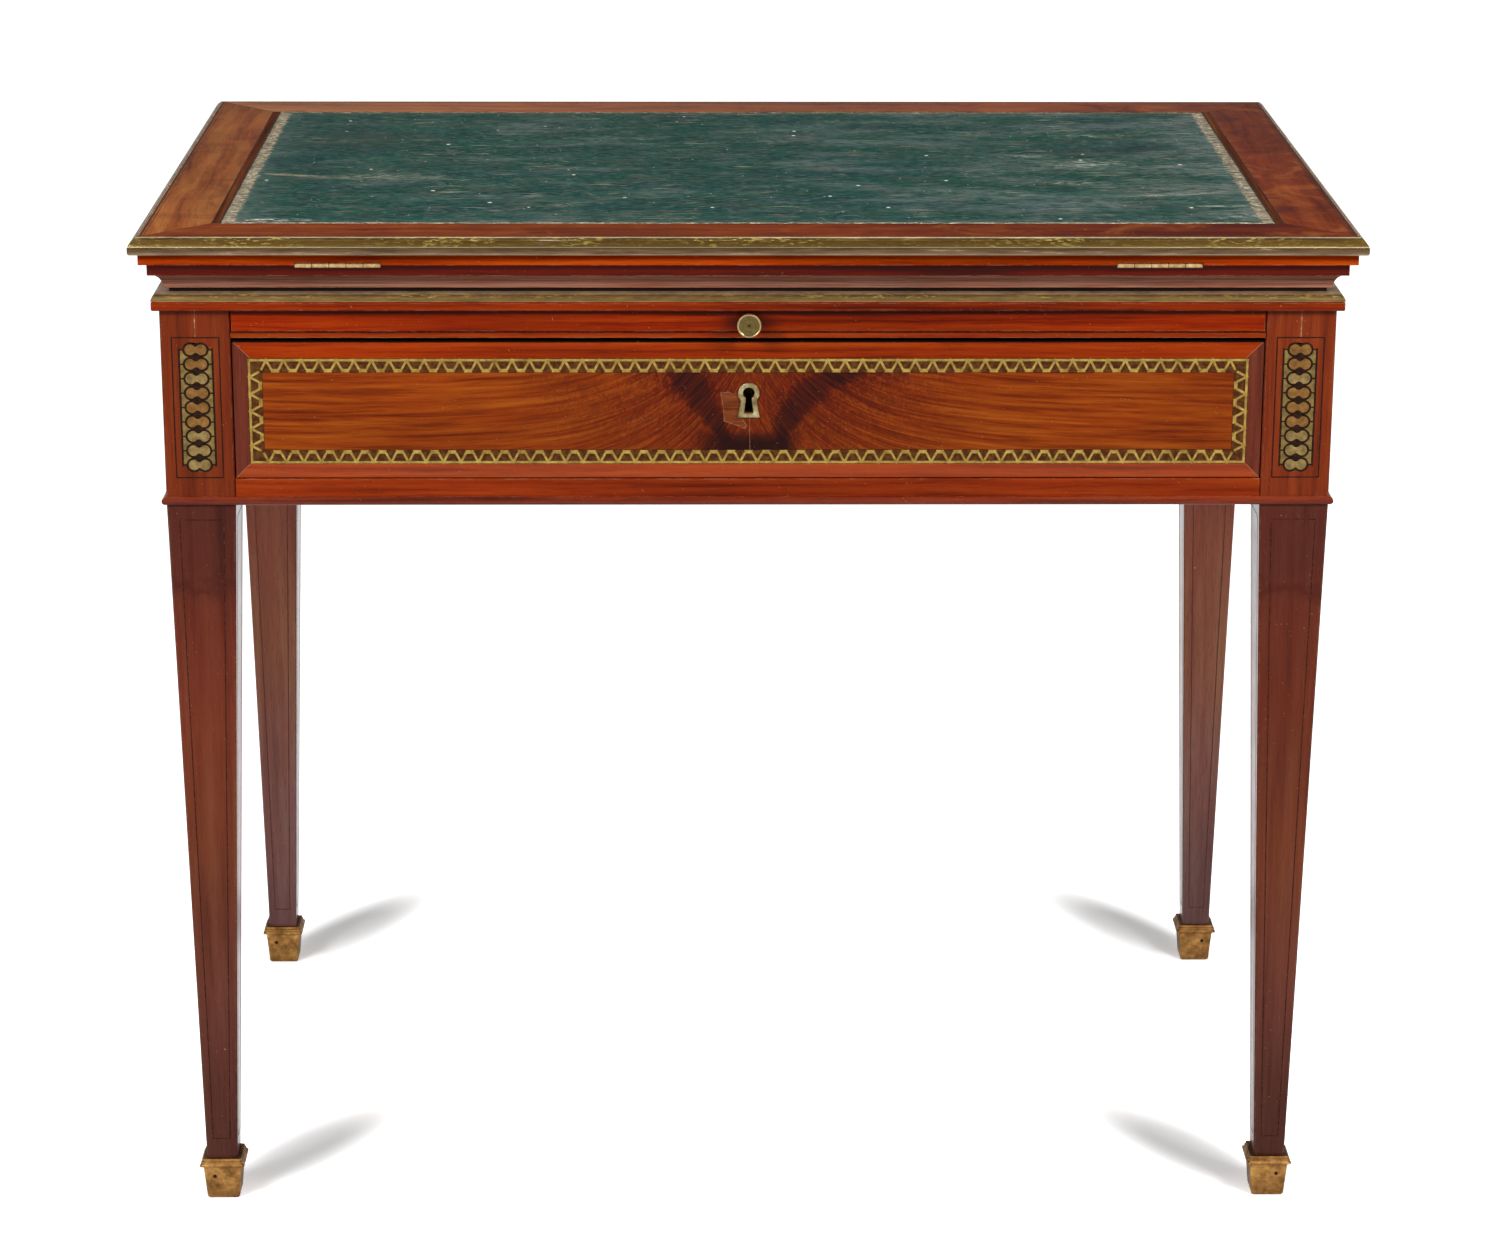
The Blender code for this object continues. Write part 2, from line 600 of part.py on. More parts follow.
def build_case():
    """The fixed case: legs, panels, rails, boards and mouldings."""
    for row, side_y in (("front", -1), ("rear", 1)):
        for side_x in (-1, 1):
            build_leg(side_x, side_y, row)
            build_sabot(side_x, side_y, row)

    panel_end = HALF_DEPTH - POST_SIDE - SEAT_GAP
    side_inner = HALF_WIDTH - PANEL_THICKNESS
    for side in (-1, 1):
        low_x, high_x = sorted((side * side_inner, side * HALF_WIDTH))
        panel = piece(f"side_panel_{side_name(side)}",
                      block((low_x, -panel_end, CASE_BOTTOM), (high_x, panel_end, CASE_TOP)),
                      "mahogany", "case", softened=EDGE_SOFTENING / 2)
        if side > 0:
            cut(panel, rod(BUSH_RADIUS + SEAT_GAP, "X", (ARBOR_Y, ARBOR_Z),
                           side_inner - CUT_OVERRUN, HALF_WIDTH + CUT_OVERRUN, ROUND_SIDES))
        else:
            cut(panel, rod(BORE_RADIUS, "X", (ARBOR_Y, ARBOR_Z),
                           -side_inner - BLIND_BEARING_DEPTH - SEAT_GAP, -side_inner + CUT_OVERRUN))
        inlay = prism(post_inlay_outline(side), "Y", -HALF_DEPTH, -HALF_DEPTH + INLAY_THICKNESS)
        piece(f"post_inlay_{side_name(side)}", inlay, "brass", "case")

    rail_half = OPENING_HALF_WIDTH - SEAT_GAP
    piece("back_panel",
          block((-rail_half, HALF_DEPTH - PANEL_THICKNESS, CASE_BOTTOM), (rail_half, HALF_DEPTH, CASE_TOP)),
          "mahogany", "case", softened=EDGE_SOFTENING / 2)
    piece("lower_rail",
          block((-rail_half, -HALF_DEPTH, CASE_BOTTOM),
                (rail_half, FRONT_REAR, LOWER_RAIL_TOP)),
          "mahogany", "case", softened=EDGE_SOFTENING / 2)
    build_bottom_board(side_inner - SEAT_GAP)
    build_dust_board()
    for side in (-1, 1):
        build_divider(side)
        build_rack_guide(side, side_inner - SEAT_GAP)

    bead_middle = CASE_BOTTOM + BEAD_HEIGHT / 2
    bead = [(SEAT_GAP, CASE_BOTTOM)]
    bead += [(SEAT_GAP + (BEAD_REACH - SEAT_GAP) * across, bead_middle + BEAD_HEIGHT / 2 * up)
             for across, up in arc((0.0, 0.0), 1.0, -math.pi / 2, math.pi / 2, BEAD_STEPS)[1:-1]]
    bead += [(SEAT_GAP, CASE_BOTTOM + BEAD_HEIGHT)]
    piece("base_bead", moulding(bead, HALF_WIDTH, HALF_DEPTH), "mahogany", "case")

    top_half_x = HALF_WIDTH + CASE_TOP_OVERHANG
    top_half_y = HALF_DEPTH + CASE_TOP_OVERHANG
    top = piece("case_top_board",
                block((-top_half_x, -top_half_y, CASE_TOP_LOW), (top_half_x, top_half_y, CASE_TOP_HIGH)),
                "mahogany", "case", softened=EDGE_SOFTENING)
    for side in (-1, 1):
        cut(top, block(
            (side * RACK_CENTRE_X - RACK_WIDTH / 2 - RUNNING_GAP, RACK_TIP_Y - RUNNING_GAP,
             CASE_TOP_LOW - CUT_OVERRUN),
            (side * RACK_CENTRE_X + RACK_WIDTH / 2 + RUNNING_GAP, RACK_BACK_Y + RUNNING_GAP,
             CASE_TOP_HIGH + CUT_OVERRUN)))

    rim_inner = CASE_TOP_OVERHANG - RIM_WIDTH
    rim = [(rim_inner, RIM_LOW), (CASE_TOP_OVERHANG, RIM_LOW)]
    rim += [(CASE_TOP_OVERHANG * across, RIM_LOW + RIM_HEIGHT * up)
            for across, up in arc((0.0, 0.0), 1.0, RIM_START, math.pi / 2, RIM_STEPS)]
    rim += [(rim_inner, RIM_HIGH)]
    piece("case_brass_rim", moulding(rim, HALF_WIDTH, HALF_DEPTH), "brass", "case")


def build_bottom_board(half_x):
    """The floor of the case, notched round the four posts."""
    notch_x = OPENING_HALF_WIDTH - SEAT_GAP
    notch_y = HALF_DEPTH - POST_SIDE - SEAT_GAP
    rear = HALF_DEPTH - PANEL_THICKNESS - SEAT_GAP
    outline = (
        (-notch_x, BEHIND_FRONT), (notch_x, BEHIND_FRONT), (notch_x, -notch_y), (half_x, -notch_y),
        (half_x, notch_y), (notch_x, notch_y), (notch_x, rear), (-notch_x, rear),
        (-notch_x, notch_y), (-half_x, notch_y), (-half_x, -notch_y), (-notch_x, -notch_y),
    )
    piece("bottom_board", prism(outline, "Z", CASE_BOTTOM, CASE_BOTTOM + BOTTOM_THICKNESS), "oak", "case")


def shelf_outline(front_half, rear_half, front, shoulder, rear):
    """A shelf seen from above, wider in front where it closes the gap between the posts."""
    return (
        (-front_half, front), (front_half, front), (front_half, shoulder), (rear_half, shoulder),
        (rear_half, rear), (-rear_half, rear), (-rear_half, shoulder), (-front_half, shoulder),
    )


def build_dust_board():
    """The board between drawer and slide, with a mortise for the lock's bolt."""
    outline = shelf_outline(OPENING_HALF_WIDTH - SEAT_GAP, DIVIDER_INNER - SEAT_GAP,
                            -HALF_DEPTH, FRONT_REAR, SHELF_REAR)
    board = piece("dust_board", prism(outline, "Z", DUST_BOTTOM, DUST_TOP), "mahogany", "case")
    cut(board, block(
        (-BOLT_WIDTH / 2 - RUNNING_GAP, BOLT_FRONT - RUNNING_GAP, DUST_BOTTOM - CUT_OVERRUN),
        (BOLT_WIDTH / 2 + RUNNING_GAP, BOLT_FRONT + BOLT_DEPTH + RUNNING_GAP,
         DUST_BOTTOM + MORTISE_DEPTH)))


def build_divider(side):
    """A wall beside the drawer, with its runner below and its kicker above."""
    low = BOTTOM_BOARD_TOP
    high = CASE_TOP
    outline = (
        (side * DIVIDER_OUTER, low), (side * DIVIDER_OUTER, high), (side * DIVIDER_INNER, high),
        (side * DIVIDER_INNER, DUST_BOTTOM - SEAT_GAP), (side * LEDGE_INNER, DUST_BOTTOM - SEAT_GAP),
        (side * LEDGE_INNER, KICKER_BOTTOM), (side * DIVIDER_INNER, KICKER_BOTTOM),
        (side * DIVIDER_INNER, RUNNER_TOP), (side * LEDGE_INNER, RUNNER_TOP),
        (side * LEDGE_INNER, low),
    )
    divider = piece(f"divider_{side_name(side)}", prism(outline, "Y", BEHIND_FRONT, LEDGE_REAR),
                    "oak", "case")
    wall_x = sorted((side * DIVIDER_INNER, side * DIVIDER_OUTER))
    rear = HALF_DEPTH - PANEL_THICKNESS - SEAT_GAP
    add(divider, block((wall_x[0], LEDGE_REAR - DIVIDER_THICKNESS, low), (wall_x[1], rear, high)))
    if side > 0:
        stop_y, stop_z = pawl_stop_place()
        add(divider, rod(PAWL_STOP_RADIUS, "X", (stop_y, stop_z), RATCHET_INNER_X,
                         DIVIDER_INNER + DIVIDER_THICKNESS / 2))
    cut(divider, rod(BORE_RADIUS, "X", (ARBOR_Y, ARBOR_Z), wall_x[0] - CUT_OVERRUN,
                     wall_x[1] + CUT_OVERRUN, ROUND_SIDES))


def build_rack_guide(side, outer_x):
    """A channel that holds a rack upright, open towards its pinion."""
    half = RACK_WIDTH / 2 + SEAT_GAP
    front = RACK_ROOT_Y + RUNNING_GAP
    inner_back = RACK_BACK_Y + SEAT_GAP
    outer_back = inner_back + GUIDE_WALL
    inboard = RACK_CENTRE_X - half - GUIDE_WALL
    outline = (
        (inboard, front), (RACK_CENTRE_X - half, front), (RACK_CENTRE_X - half, inner_back),
        (RACK_CENTRE_X + half, inner_back), (RACK_CENTRE_X + half, front), (outer_x, front),
        (outer_x, outer_back), (inboard, outer_back),
    )
    outline = [(side * x, y) for x, y in outline]
    piece(f"rack_guide_{side_name(side)}", prism(outline, "Z", BOTTOM_BOARD_TOP, CASE_TOP),
          "oak", "case")


def tooth_half_angle(radius):
    """Half the angle that a pinion tooth spans at a radius, from its involute flank."""
    base = PITCH_RADIUS * math.cos(PRESSURE_ANGLE)
    roll = math.acos(min(1.0, base / max(radius, base)))
    half = math.pi / (2 * PINION_TEETH) - TOOTH_THINNING / PITCH_RADIUS
    return half + (math.tan(PRESSURE_ANGLE) - PRESSURE_ANGLE) - (math.tan(roll) - roll)


def pinion_outline():
    """The toothed outline, with a tooth space facing the rack."""
    root = PITCH_RADIUS - DEDENDUM
    tip = PITCH_RADIUS + ADDENDUM
    base = max(PITCH_RADIUS * math.cos(PRESSURE_ANGLE), root)
    radii = [root] + [base + (tip - base) * step / FLANK_STEPS for step in range(FLANK_STEPS + 1)]
    outline = []
    for tooth in range(PINION_TEETH):
        middle = 2 * math.pi * (tooth + 0.5) / PINION_TEETH
        flank = [(radius, middle - tooth_half_angle(radius)) for radius in radii]
        flank += [(radius, middle + tooth_half_angle(radius)) for radius in reversed(radii)]
        outline += [(ARBOR_Y + radius * math.cos(angle), ARBOR_Z + radius * math.sin(angle))
                    for radius, angle in flank]
    return outline


def ratchet_outline():
    """Saw teeth whose radial faces stop the wheel from running back."""
    outline = []
    for tooth in range(RATCHET_TEETH):
        angle = RATCHET_FACE_ANGLE + tooth * RATCHET_STEP
        for radius in (RATCHET_ROOT_RADIUS, RATCHET_TIP_RADIUS):
            outline.append((ARBOR_Y + radius * math.cos(angle), ARBOR_Z + radius * math.sin(angle)))
    return outline


def pawl_outline():
    """The pawl as it lies in the wheel: nose, back, round boss and a belly clear of the teeth."""
    face = RATCHET_FACE_ANGLE - PAWL_TOOTH_GAP / RATCHET_ROOT_RADIUS
    belly = RATCHET_FACE_ANGLE - RATCHET_STEP
    wheel = (ARBOR_Y, ARBOR_Z)
    inner = RATCHET_ROOT_RADIUS + PAWL_FLOOR_GAP
    clear = RATCHET_TIP_RADIUS + PAWL_FLOOR_GAP
    nose = [(wheel[0] + radius * math.cos(angle), wheel[1] + radius * math.sin(angle))
            for radius, angle in ((clear, belly), (inner, face), (PAWL_NOSE_RADIUS, face))]
    boss = arc((PAWL_PIVOT_Y, PAWL_PIVOT_Z), PAWL_BOSS_RADIUS, RATCHET_FACE_ANGLE,
               RATCHET_FACE_ANGLE - math.pi, PAWL_BOSS_STEPS)
    return nose + boss


def pawl_stop_place():
    """Where the peg stands that the thrown-back pawl rests on."""
    outline = pawl_outline()
    tip, heel = outline[2], outline[3]
    length = math.dist(tip, heel)
    along = ((heel[0] - tip[0]) / length, (heel[1] - tip[1]) / length)
    away = (-along[1], along[0])
    stand_off = PAWL_STOP_RADIUS + SEAT_GAP
    point = (tip[0] + along[0] * length * PAWL_STOP_SHARE + away[0] * stand_off,
             tip[1] + along[1] * length * PAWL_STOP_SHARE + away[1] * stand_off)
    return turned_about(point, (PAWL_PIVOT_Y, PAWL_PIVOT_Z), -PAWL_THROW)


def build_lifting_gear():
    """Cross arbor with its pinions, ratchet wheel and pawl, and the crank's bush."""
    side_inner = HALF_WIDTH - PANEL_THICKNESS
    left_end = -side_inner - BLIND_BEARING_DEPTH + ARBOR_END_CLEARANCE
    square_end = HALF_WIDTH - CRANK_END_RECESS
    square_start = square_end - CRANK_SQUARE_LENGTH
    arbor = piece("arbor", rod(ARBOR_RADIUS, "X", (ARBOR_Y, ARBOR_Z), left_end, square_start, ROUND_SIDES),
                  "steel", "arbor", smooth=True)
    half = CRANK_SQUARE_SIDE / 2
    add(arbor, block((square_start - CUT_OVERRUN, ARBOR_Y - half, ARBOR_Z - half),
                     (square_end, ARBOR_Y + half, ARBOR_Z + half)))

    bush_step = square_start + RUNNING_GAP
    outer = HALF_WIDTH + SEAT_GAP
    bush = (
        (BORE_RADIUS, side_inner), (BUSH_RADIUS, side_inner), (BUSH_RADIUS, outer),
        (BUSH_FLANGE_RADIUS, outer), (BUSH_FLANGE_RADIUS, outer + BUSH_FLANGE_THICKNESS),
        (CRANK_ROOM_RADIUS, outer + BUSH_FLANGE_THICKNESS), (CRANK_ROOM_RADIUS, bush_step),
        (BORE_RADIUS, bush_step),
    )
    piece("crank_bush", turned(bush, "X", (ARBOR_Y, ARBOR_Z), ROUND_SIDES, hollow=True),
          "brass", "case", smooth=True)

    for side in (-1, 1):
        middle = side * RACK_CENTRE_X
        low, high = middle - PINION_WIDTH / 2, middle + PINION_WIDTH / 2
        pinion = piece(f"pinion_{side_name(side)}", prism(pinion_outline(), "X", low, high),
                       "steel", "arbor")
        cut(pinion, rod(BORE_RADIUS, "X", (ARBOR_Y, ARBOR_Z), low - CUT_OVERRUN, high + CUT_OVERRUN,
                        ROUND_SIDES))
        build_rack(side)

    wheel = piece("ratchet_wheel", prism(ratchet_outline(), "X", RATCHET_INNER_X, RATCHET_OUTER_X),
                  "steel", "arbor")
    cut(wheel, rod(BORE_RADIUS, "X", (ARBOR_Y, ARBOR_Z), RATCHET_INNER_X - CUT_OVERRUN,
                   RATCHET_OUTER_X + CUT_OVERRUN, ROUND_SIDES))

    pivot = (PAWL_PIVOT_Y, PAWL_PIVOT_Z)
    thrown_back = [turned_about(point, pivot, -PAWL_THROW) for point in pawl_outline()]
    pawl = piece("pawl", prism(thrown_back, "X", RATCHET_INNER_X, RATCHET_OUTER_X), "steel", "pawl")
    cut(pawl, rod(PAWL_PIN_RADIUS + SEAT_GAP, "X", pivot, RATCHET_INNER_X - CUT_OVERRUN,
                  RATCHET_OUTER_X + CUT_OVERRUN))
    head = RATCHET_INNER_X - SEAT_GAP
    screw = (
        (PAWL_HEAD_RADIUS, head - PAWL_HEAD_THICKNESS), (PAWL_HEAD_RADIUS, head),
        (PAWL_PIN_RADIUS, head), (PAWL_PIN_RADIUS, DIVIDER_INNER - SEAT_GAP),
    )
    piece("pawl_screw", turned(screw, "X", pivot, SMALL_ROUND_SIDES), "steel", "case", smooth=True)


def build_rack(side):
    """An upright rack with teeth towards the arbor, fixed under the top frame."""
    top = PANEL_LOW - SEAT_GAP
    half = TOOTH_PITCH / 4 - TOOTH_THINNING
    slope = math.tan(PRESSURE_ANGLE)
    tip_half = half - ADDENDUM * slope
    root_half = half + DEDENDUM * slope
    first = math.ceil((RACK_FOOT + root_half - ARBOR_Z) / TOOTH_PITCH)
    last = math.floor((top - root_half - ARBOR_Z) / TOOTH_PITCH)
    outline = [(RACK_BACK_Y, RACK_FOOT), (RACK_ROOT_Y, RACK_FOOT)]
    for tooth in range(first, last + 1):
        middle = ARBOR_Z + tooth * TOOTH_PITCH
        outline += [(RACK_ROOT_Y, middle - root_half), (RACK_TIP_Y, middle - tip_half),
                    (RACK_TIP_Y, middle + tip_half), (RACK_ROOT_Y, middle + root_half)]
    outline += [(RACK_ROOT_Y, top), (RACK_BACK_Y, top)]
    middle_x = side * RACK_CENTRE_X
    piece(f"rack_{side_name(side)}",
          prism(outline, "X", middle_x - RACK_WIDTH / 2, middle_x + RACK_WIDTH / 2),
          "steel", "top_frame")


def hinge_recess(side, low, high, front):
    """The shape cut away for one hinge leaf."""
    middle = side * (HALF_WIDTH - HINGE_INSET)
    half = HINGE_LENGTH / 2 + SEAT_GAP
    rear = TILT_Y + HINGE_BARREL_RADIUS + SEAT_GAP + HINGE_LEAF_WIDTH + SEAT_GAP
    return block((middle - half, front, low), (middle + half, rear, high))


def hinge_leaf(side, up):
    """A butt hinge leaf let into the wood, with every second knuckle of the barrel."""
    sign = 1 if up else -1
    near = sign * HINGE_LEAF_OFFSET
    far = sign * HINGE_BARREL_RADIUS
    start = math.asin(HINGE_LEAF_OFFSET / HINGE_BARREL_RADIUS)
    leaf_end = HINGE_BARREL_RADIUS + SEAT_GAP + HINGE_LEAF_WIDTH
    barrel = arc((0.0, 0.0), HINGE_BARREL_RADIUS, start, -3 * math.pi / 2, HINGE_BARREL_STEPS)
    outline = [(TILT_Y + y, TILT_Z + sign * z) for y, z in barrel]
    outline += [(TILT_Y + leaf_end, TILT_Z + far), (TILT_Y + leaf_end, TILT_Z + near)]
    middle = side * (HALF_WIDTH - HINGE_INSET)
    low, high = middle - HINGE_LENGTH / 2, middle + HINGE_LENGTH / 2
    body = "board" if up else "top_frame"
    name = "upper" if up else "lower"
    leaf = piece(f"hinge_{name}_{side_name(side)}", prism(outline, "X", low, high), "brass", body)
    knuckle = HINGE_LENGTH / HINGE_KNUCKLES
    room = HINGE_BARREL_RADIUS + SEAT_GAP
    for index in range(0 if up else 1, HINGE_KNUCKLES, 2):
        first_end = index == 0
        last_end = index == HINGE_KNUCKLES - 1
        start_x = low + knuckle * index - (CUT_OVERRUN if first_end else SEAT_GAP / 2)
        end_x = low + knuckle * (index + 1) + (CUT_OVERRUN if last_end else SEAT_GAP / 2)
        cut(leaf, block((start_x, TILT_Y - room - CUT_OVERRUN, TILT_Z - room - CUT_OVERRUN),
                        (end_x, TILT_Y + room, TILT_Z + room + CUT_OVERRUN)))
    if up:
        cut(leaf, rod(HINGE_PIN_RADIUS + HINGE_PIN_CLEARANCE, "X", (TILT_Y, TILT_Z),
                      low - CUT_OVERRUN, high + CUT_OVERRUN))
    else:
        add(leaf, rod(HINGE_PIN_RADIUS, "X", (TILT_Y, TILT_Z), low, high))


def build_top_frame():
    """The moulded frame that rises, its panel, notched rails and lower hinge leaves."""
    panel_half_x = HALF_WIDTH + CASE_TOP_OVERHANG - RIM_WIDTH - FRAME_PANEL_GAP
    panel_half_y = HALF_DEPTH + CASE_TOP_OVERHANG - RIM_WIDTH - FRAME_PANEL_GAP
    piece("frame_panel",
          block((-panel_half_x, -panel_half_y, PANEL_LOW), (panel_half_x, panel_half_y, PANEL_HIGH)),
          "mahogany", "top_frame", softened=EDGE_SOFTENING / 2)

    cove_top = FRAME_LOW + COVE_HEIGHT
    cove_out = -COVE_STEP - COVE_DEPTH
    profile = [(-FRAME_WIDTH, FRAME_LOW), (cove_out, FRAME_LOW)]
    for across, up in arc((0.0, 0.0), 1.0, math.pi, math.pi / 2, COVE_STEPS)[1:]:
        profile.append((cove_out + COVE_DEPTH * (1 + across), FRAME_LOW + COVE_HEIGHT * up))
    profile += [(0.0, cove_top), (0.0, FRAME_HIGH), (-FRAME_WIDTH, FRAME_HIGH)]
    frame = piece("frame_moulding", moulding(profile, FRAME_HALF_X, FRAME_HALF_Y), "mahogany", "top_frame")
    for side in (-1, 1):
        cut(frame, hinge_recess(side, TILT_Z - HINGE_BARREL_RADIUS - SEAT_GAP, BOARD_LOW,
                                -FRAME_HALF_Y - CUT_OVERRUN))
        hinge_leaf(side, up=False)
        build_notched_rail(side)


def build_notched_rail(side):
    """A rail with saw notches that catch the easel's foot."""
    front = TILT_Y + 2 * PROP_LENGTH * math.cos(TILT_LIMIT) - NOTCH_RAIL_MARGIN
    count = int((FOOT_Y - front) / NOTCH_PITCH)
    outline = [(RAIL_REAR_Y, RAIL_LOW), (RAIL_REAR_Y, RAIL_TOP)]
    for notch in range(count):
        face = RAIL_REAR_Y - NOTCH_RAIL_MARGIN / 2 - notch * NOTCH_PITCH
        outline += [(face, RAIL_TOP), (face, RAIL_TOP - NOTCH_DEPTH),
                    (face - NOTCH_PITCH * NOTCH_SLOPE_SHARE, RAIL_TOP)]
    outline += [(front, RAIL_TOP), (front, RAIL_LOW)]
    middle = side * PROP_HALF_SPACING
    piece(f"notched_rail_{side_name(side)}",
          prism(outline, "X", middle - NOTCH_RAIL_WIDTH / 2, middle + NOTCH_RAIL_WIDTH / 2),
          "mahogany", "top_frame")


def build_board():
    """The leather-lined board with its border, brass edge, upper leaves and prop brackets."""
    border = [(-BORDER_WIDTH, BOARD_LOW), (0.0, BOARD_LOW), (0.0, BOARD_HIGH), (-BORDER_WIDTH, BOARD_HIGH)]
    frame = piece("board_frame", moulding(border, BOARD_HALF_X, BOARD_HALF_Y), "mahogany", "board")
    for side in (-1, 1):
        cut(frame, hinge_recess(side, BOARD_LOW - CUT_OVERRUN, TILT_Z + HINGE_BARREL_RADIUS + SEAT_GAP,
                                -BOARD_HALF_Y - CUT_OVERRUN))
        hinge_leaf(side, up=True)
        build_bracket(side)

    piece("board_core",
          block((-CORE_HALF_X, -CORE_HALF_Y, CORE_LOW), (CORE_HALF_X, CORE_HALF_Y, CORE_HIGH)),
          "oak", "board")
    piece("leather_lining",
          block((-CORE_HALF_X, -CORE_HALF_Y, LEATHER_LOW), (CORE_HALF_X, CORE_HALF_Y, LEATHER_HIGH)),
          "leather", "board")

    edge = [(SEAT_GAP, BOARD_HIGH - EDGE_BRASS_HEIGHT), (SEAT_GAP, BOARD_HIGH)]
    edge += [(out, BOARD_HIGH + down)
             for out, down in scaled(EDGE_BRASS_SHARES, EDGE_BRASS_WIDTH, EDGE_BRASS_HEIGHT)]
    piece("board_brass_edge", moulding(edge, BOARD_HALF_X, BOARD_HALF_Y), "brass", "board")


def build_bracket(side):
    """A block under the board with the hole for one tenon of the easel prop."""
    inner = PROP_HALF_SPACING + PROP_ARM_WIDTH / 2 + RUNNING_GAP
    low_x, high_x = sorted((side * inner, side * (inner + BRACKET_WIDTH)))
    bore = PROP_TENON_RADIUS + SEAT_GAP
    bracket = piece(f"prop_bracket_{side_name(side)}",
                    block((low_x, PIVOT_Y - BRACKET_LENGTH / 2, TILT_Z - bore - BRACKET_FLOOR),
                          (high_x, PIVOT_Y + BRACKET_LENGTH / 2, CORE_LOW - SEAT_GAP)),
                    "mahogany", "board")
    cut(bracket, rod(bore, "X", (PIVOT_Y, TILT_Z), low_x - CUT_OVERRUN, high_x + CUT_OVERRUN))


def build_easel():
    """The easel prop: two arms, a crossbar, a pivot bar with tenons and a round foot bar."""
    outer = PROP_HALF_SPACING + PROP_ARM_WIDTH / 2
    inner = PROP_HALF_SPACING - PROP_ARM_WIDTH / 2
    outline = arc((FOOT_Y, TILT_Z), PROP_RADIUS, -math.pi / 2, math.pi / 2, PROP_END_STEPS)
    outline += arc((PIVOT_Y, TILT_Z), PROP_RADIUS, math.pi / 2, 3 * math.pi / 2, PROP_END_STEPS)
    easel = piece("easel_prop", prism(outline, "X", -outer, -inner), "mahogany", "easel")
    overlap = PROP_ARM_WIDTH / 2
    add(easel, rod(PROP_RADIUS * math.cos(math.pi / SMALL_ROUND_SIDES), "X", (FOOT_Y, TILT_Z),
                   -inner - overlap, inner + overlap))
    add(easel, prism(outline, "X", inner, outer))
    tenon_end = outer + PROP_TENON_LENGTH
    add(easel, rod(PROP_TENON_RADIUS, "X", (PIVOT_Y, TILT_Z), -tenon_end, tenon_end))
    middle = (PIVOT_Y + FOOT_Y) / 2
    half_width = PROP_CROSSBAR_WIDTH / 2
    half_thickness = PROP_CROSSBAR_THICKNESS / 2
    add(easel, block((-inner - overlap, middle - half_width, TILT_Z - half_thickness),
                     (inner + overlap, middle + half_width, TILT_Z + half_thickness)))


def build_slide():
    """The writing slide above the drawer, and its brass knob."""
    outline = shelf_outline(DRAWER_FRONT_HALF, DIVIDER_INNER - DRAWER_SIDE_GAP,
                            -HALF_DEPTH, FRONT_REAR, SHELF_REAR)
    slide = piece("writing_slide", prism(outline, "Z", SLIDE_BOTTOM, SLIDE_TOP), "mahogany", "slide")
    knob_z = (SLIDE_BOTTOM + SLIDE_TOP) / 2
    hole_end = -HALF_DEPTH + KNOB_STEM_LENGTH + SEAT_GAP
    cut(slide, rod(KNOB_STEM_RADIUS + SEAT_GAP, "Y", (0.0, knob_z), -HALF_DEPTH - CUT_OVERRUN, hole_end))
    face = -HALF_DEPTH - SEAT_GAP
    profile = [(radius, face - along)
               for radius, along in scaled(KNOB_PROFILE_SHARES, KNOB_RADIUS, KNOB_REACH)]
    profile += [(KNOB_STEM_RADIUS, face), (KNOB_STEM_RADIUS, hole_end - SEAT_GAP)]
    piece("slide_knob", turned(profile, "Y", (0.0, knob_z)), "brass", "slide", smooth=True)


def key_outline(radius, neck, neck_drop, foot, foot_drop, centre_z):
    """A keyhole outline: a round head over a neck that widens to a flat foot."""
    start = math.asin(neck / radius) - math.pi / 2
    head = arc((0.0, centre_z), radius, start, math.pi - start, KEY_HEAD_STEPS)
    neck_z = centre_z - neck_drop
    foot_z = centre_z - foot_drop
    return [(foot, foot_z), (neck, neck_z)] + head + [(-neck, neck_z), (-foot, foot_z)]


def band_outline(inset):
    """Half width and levels of the inlay band's edge, a distance in from its outer edge."""
    half = DRAWER_FRONT_HALF - BAND_SIDE_INSET - inset
    low = DRAWER_FRONT_BOTTOM + BAND_BOTTOM_INSET + inset
    high = DRAWER_FRONT_TOP - BAND_TOP_INSET - inset
    return half, low, high


def band_ring(outer, inner, front, rear):
    """A rectangular ring in the drawer's face, from one inset to another."""
    sections = []
    for side_x, up in ((1, 1), (-1, 1), (-1, 0), (1, 0)):
        section = []
        for inset, depth in ((outer, front), (outer, rear), (inner, rear), (inner, front)):
            half, low, high = band_outline(inset)
            section.append((side_x * half, depth, high if up else low))
        sections.append(section)
    return loft(sections, closed=True)


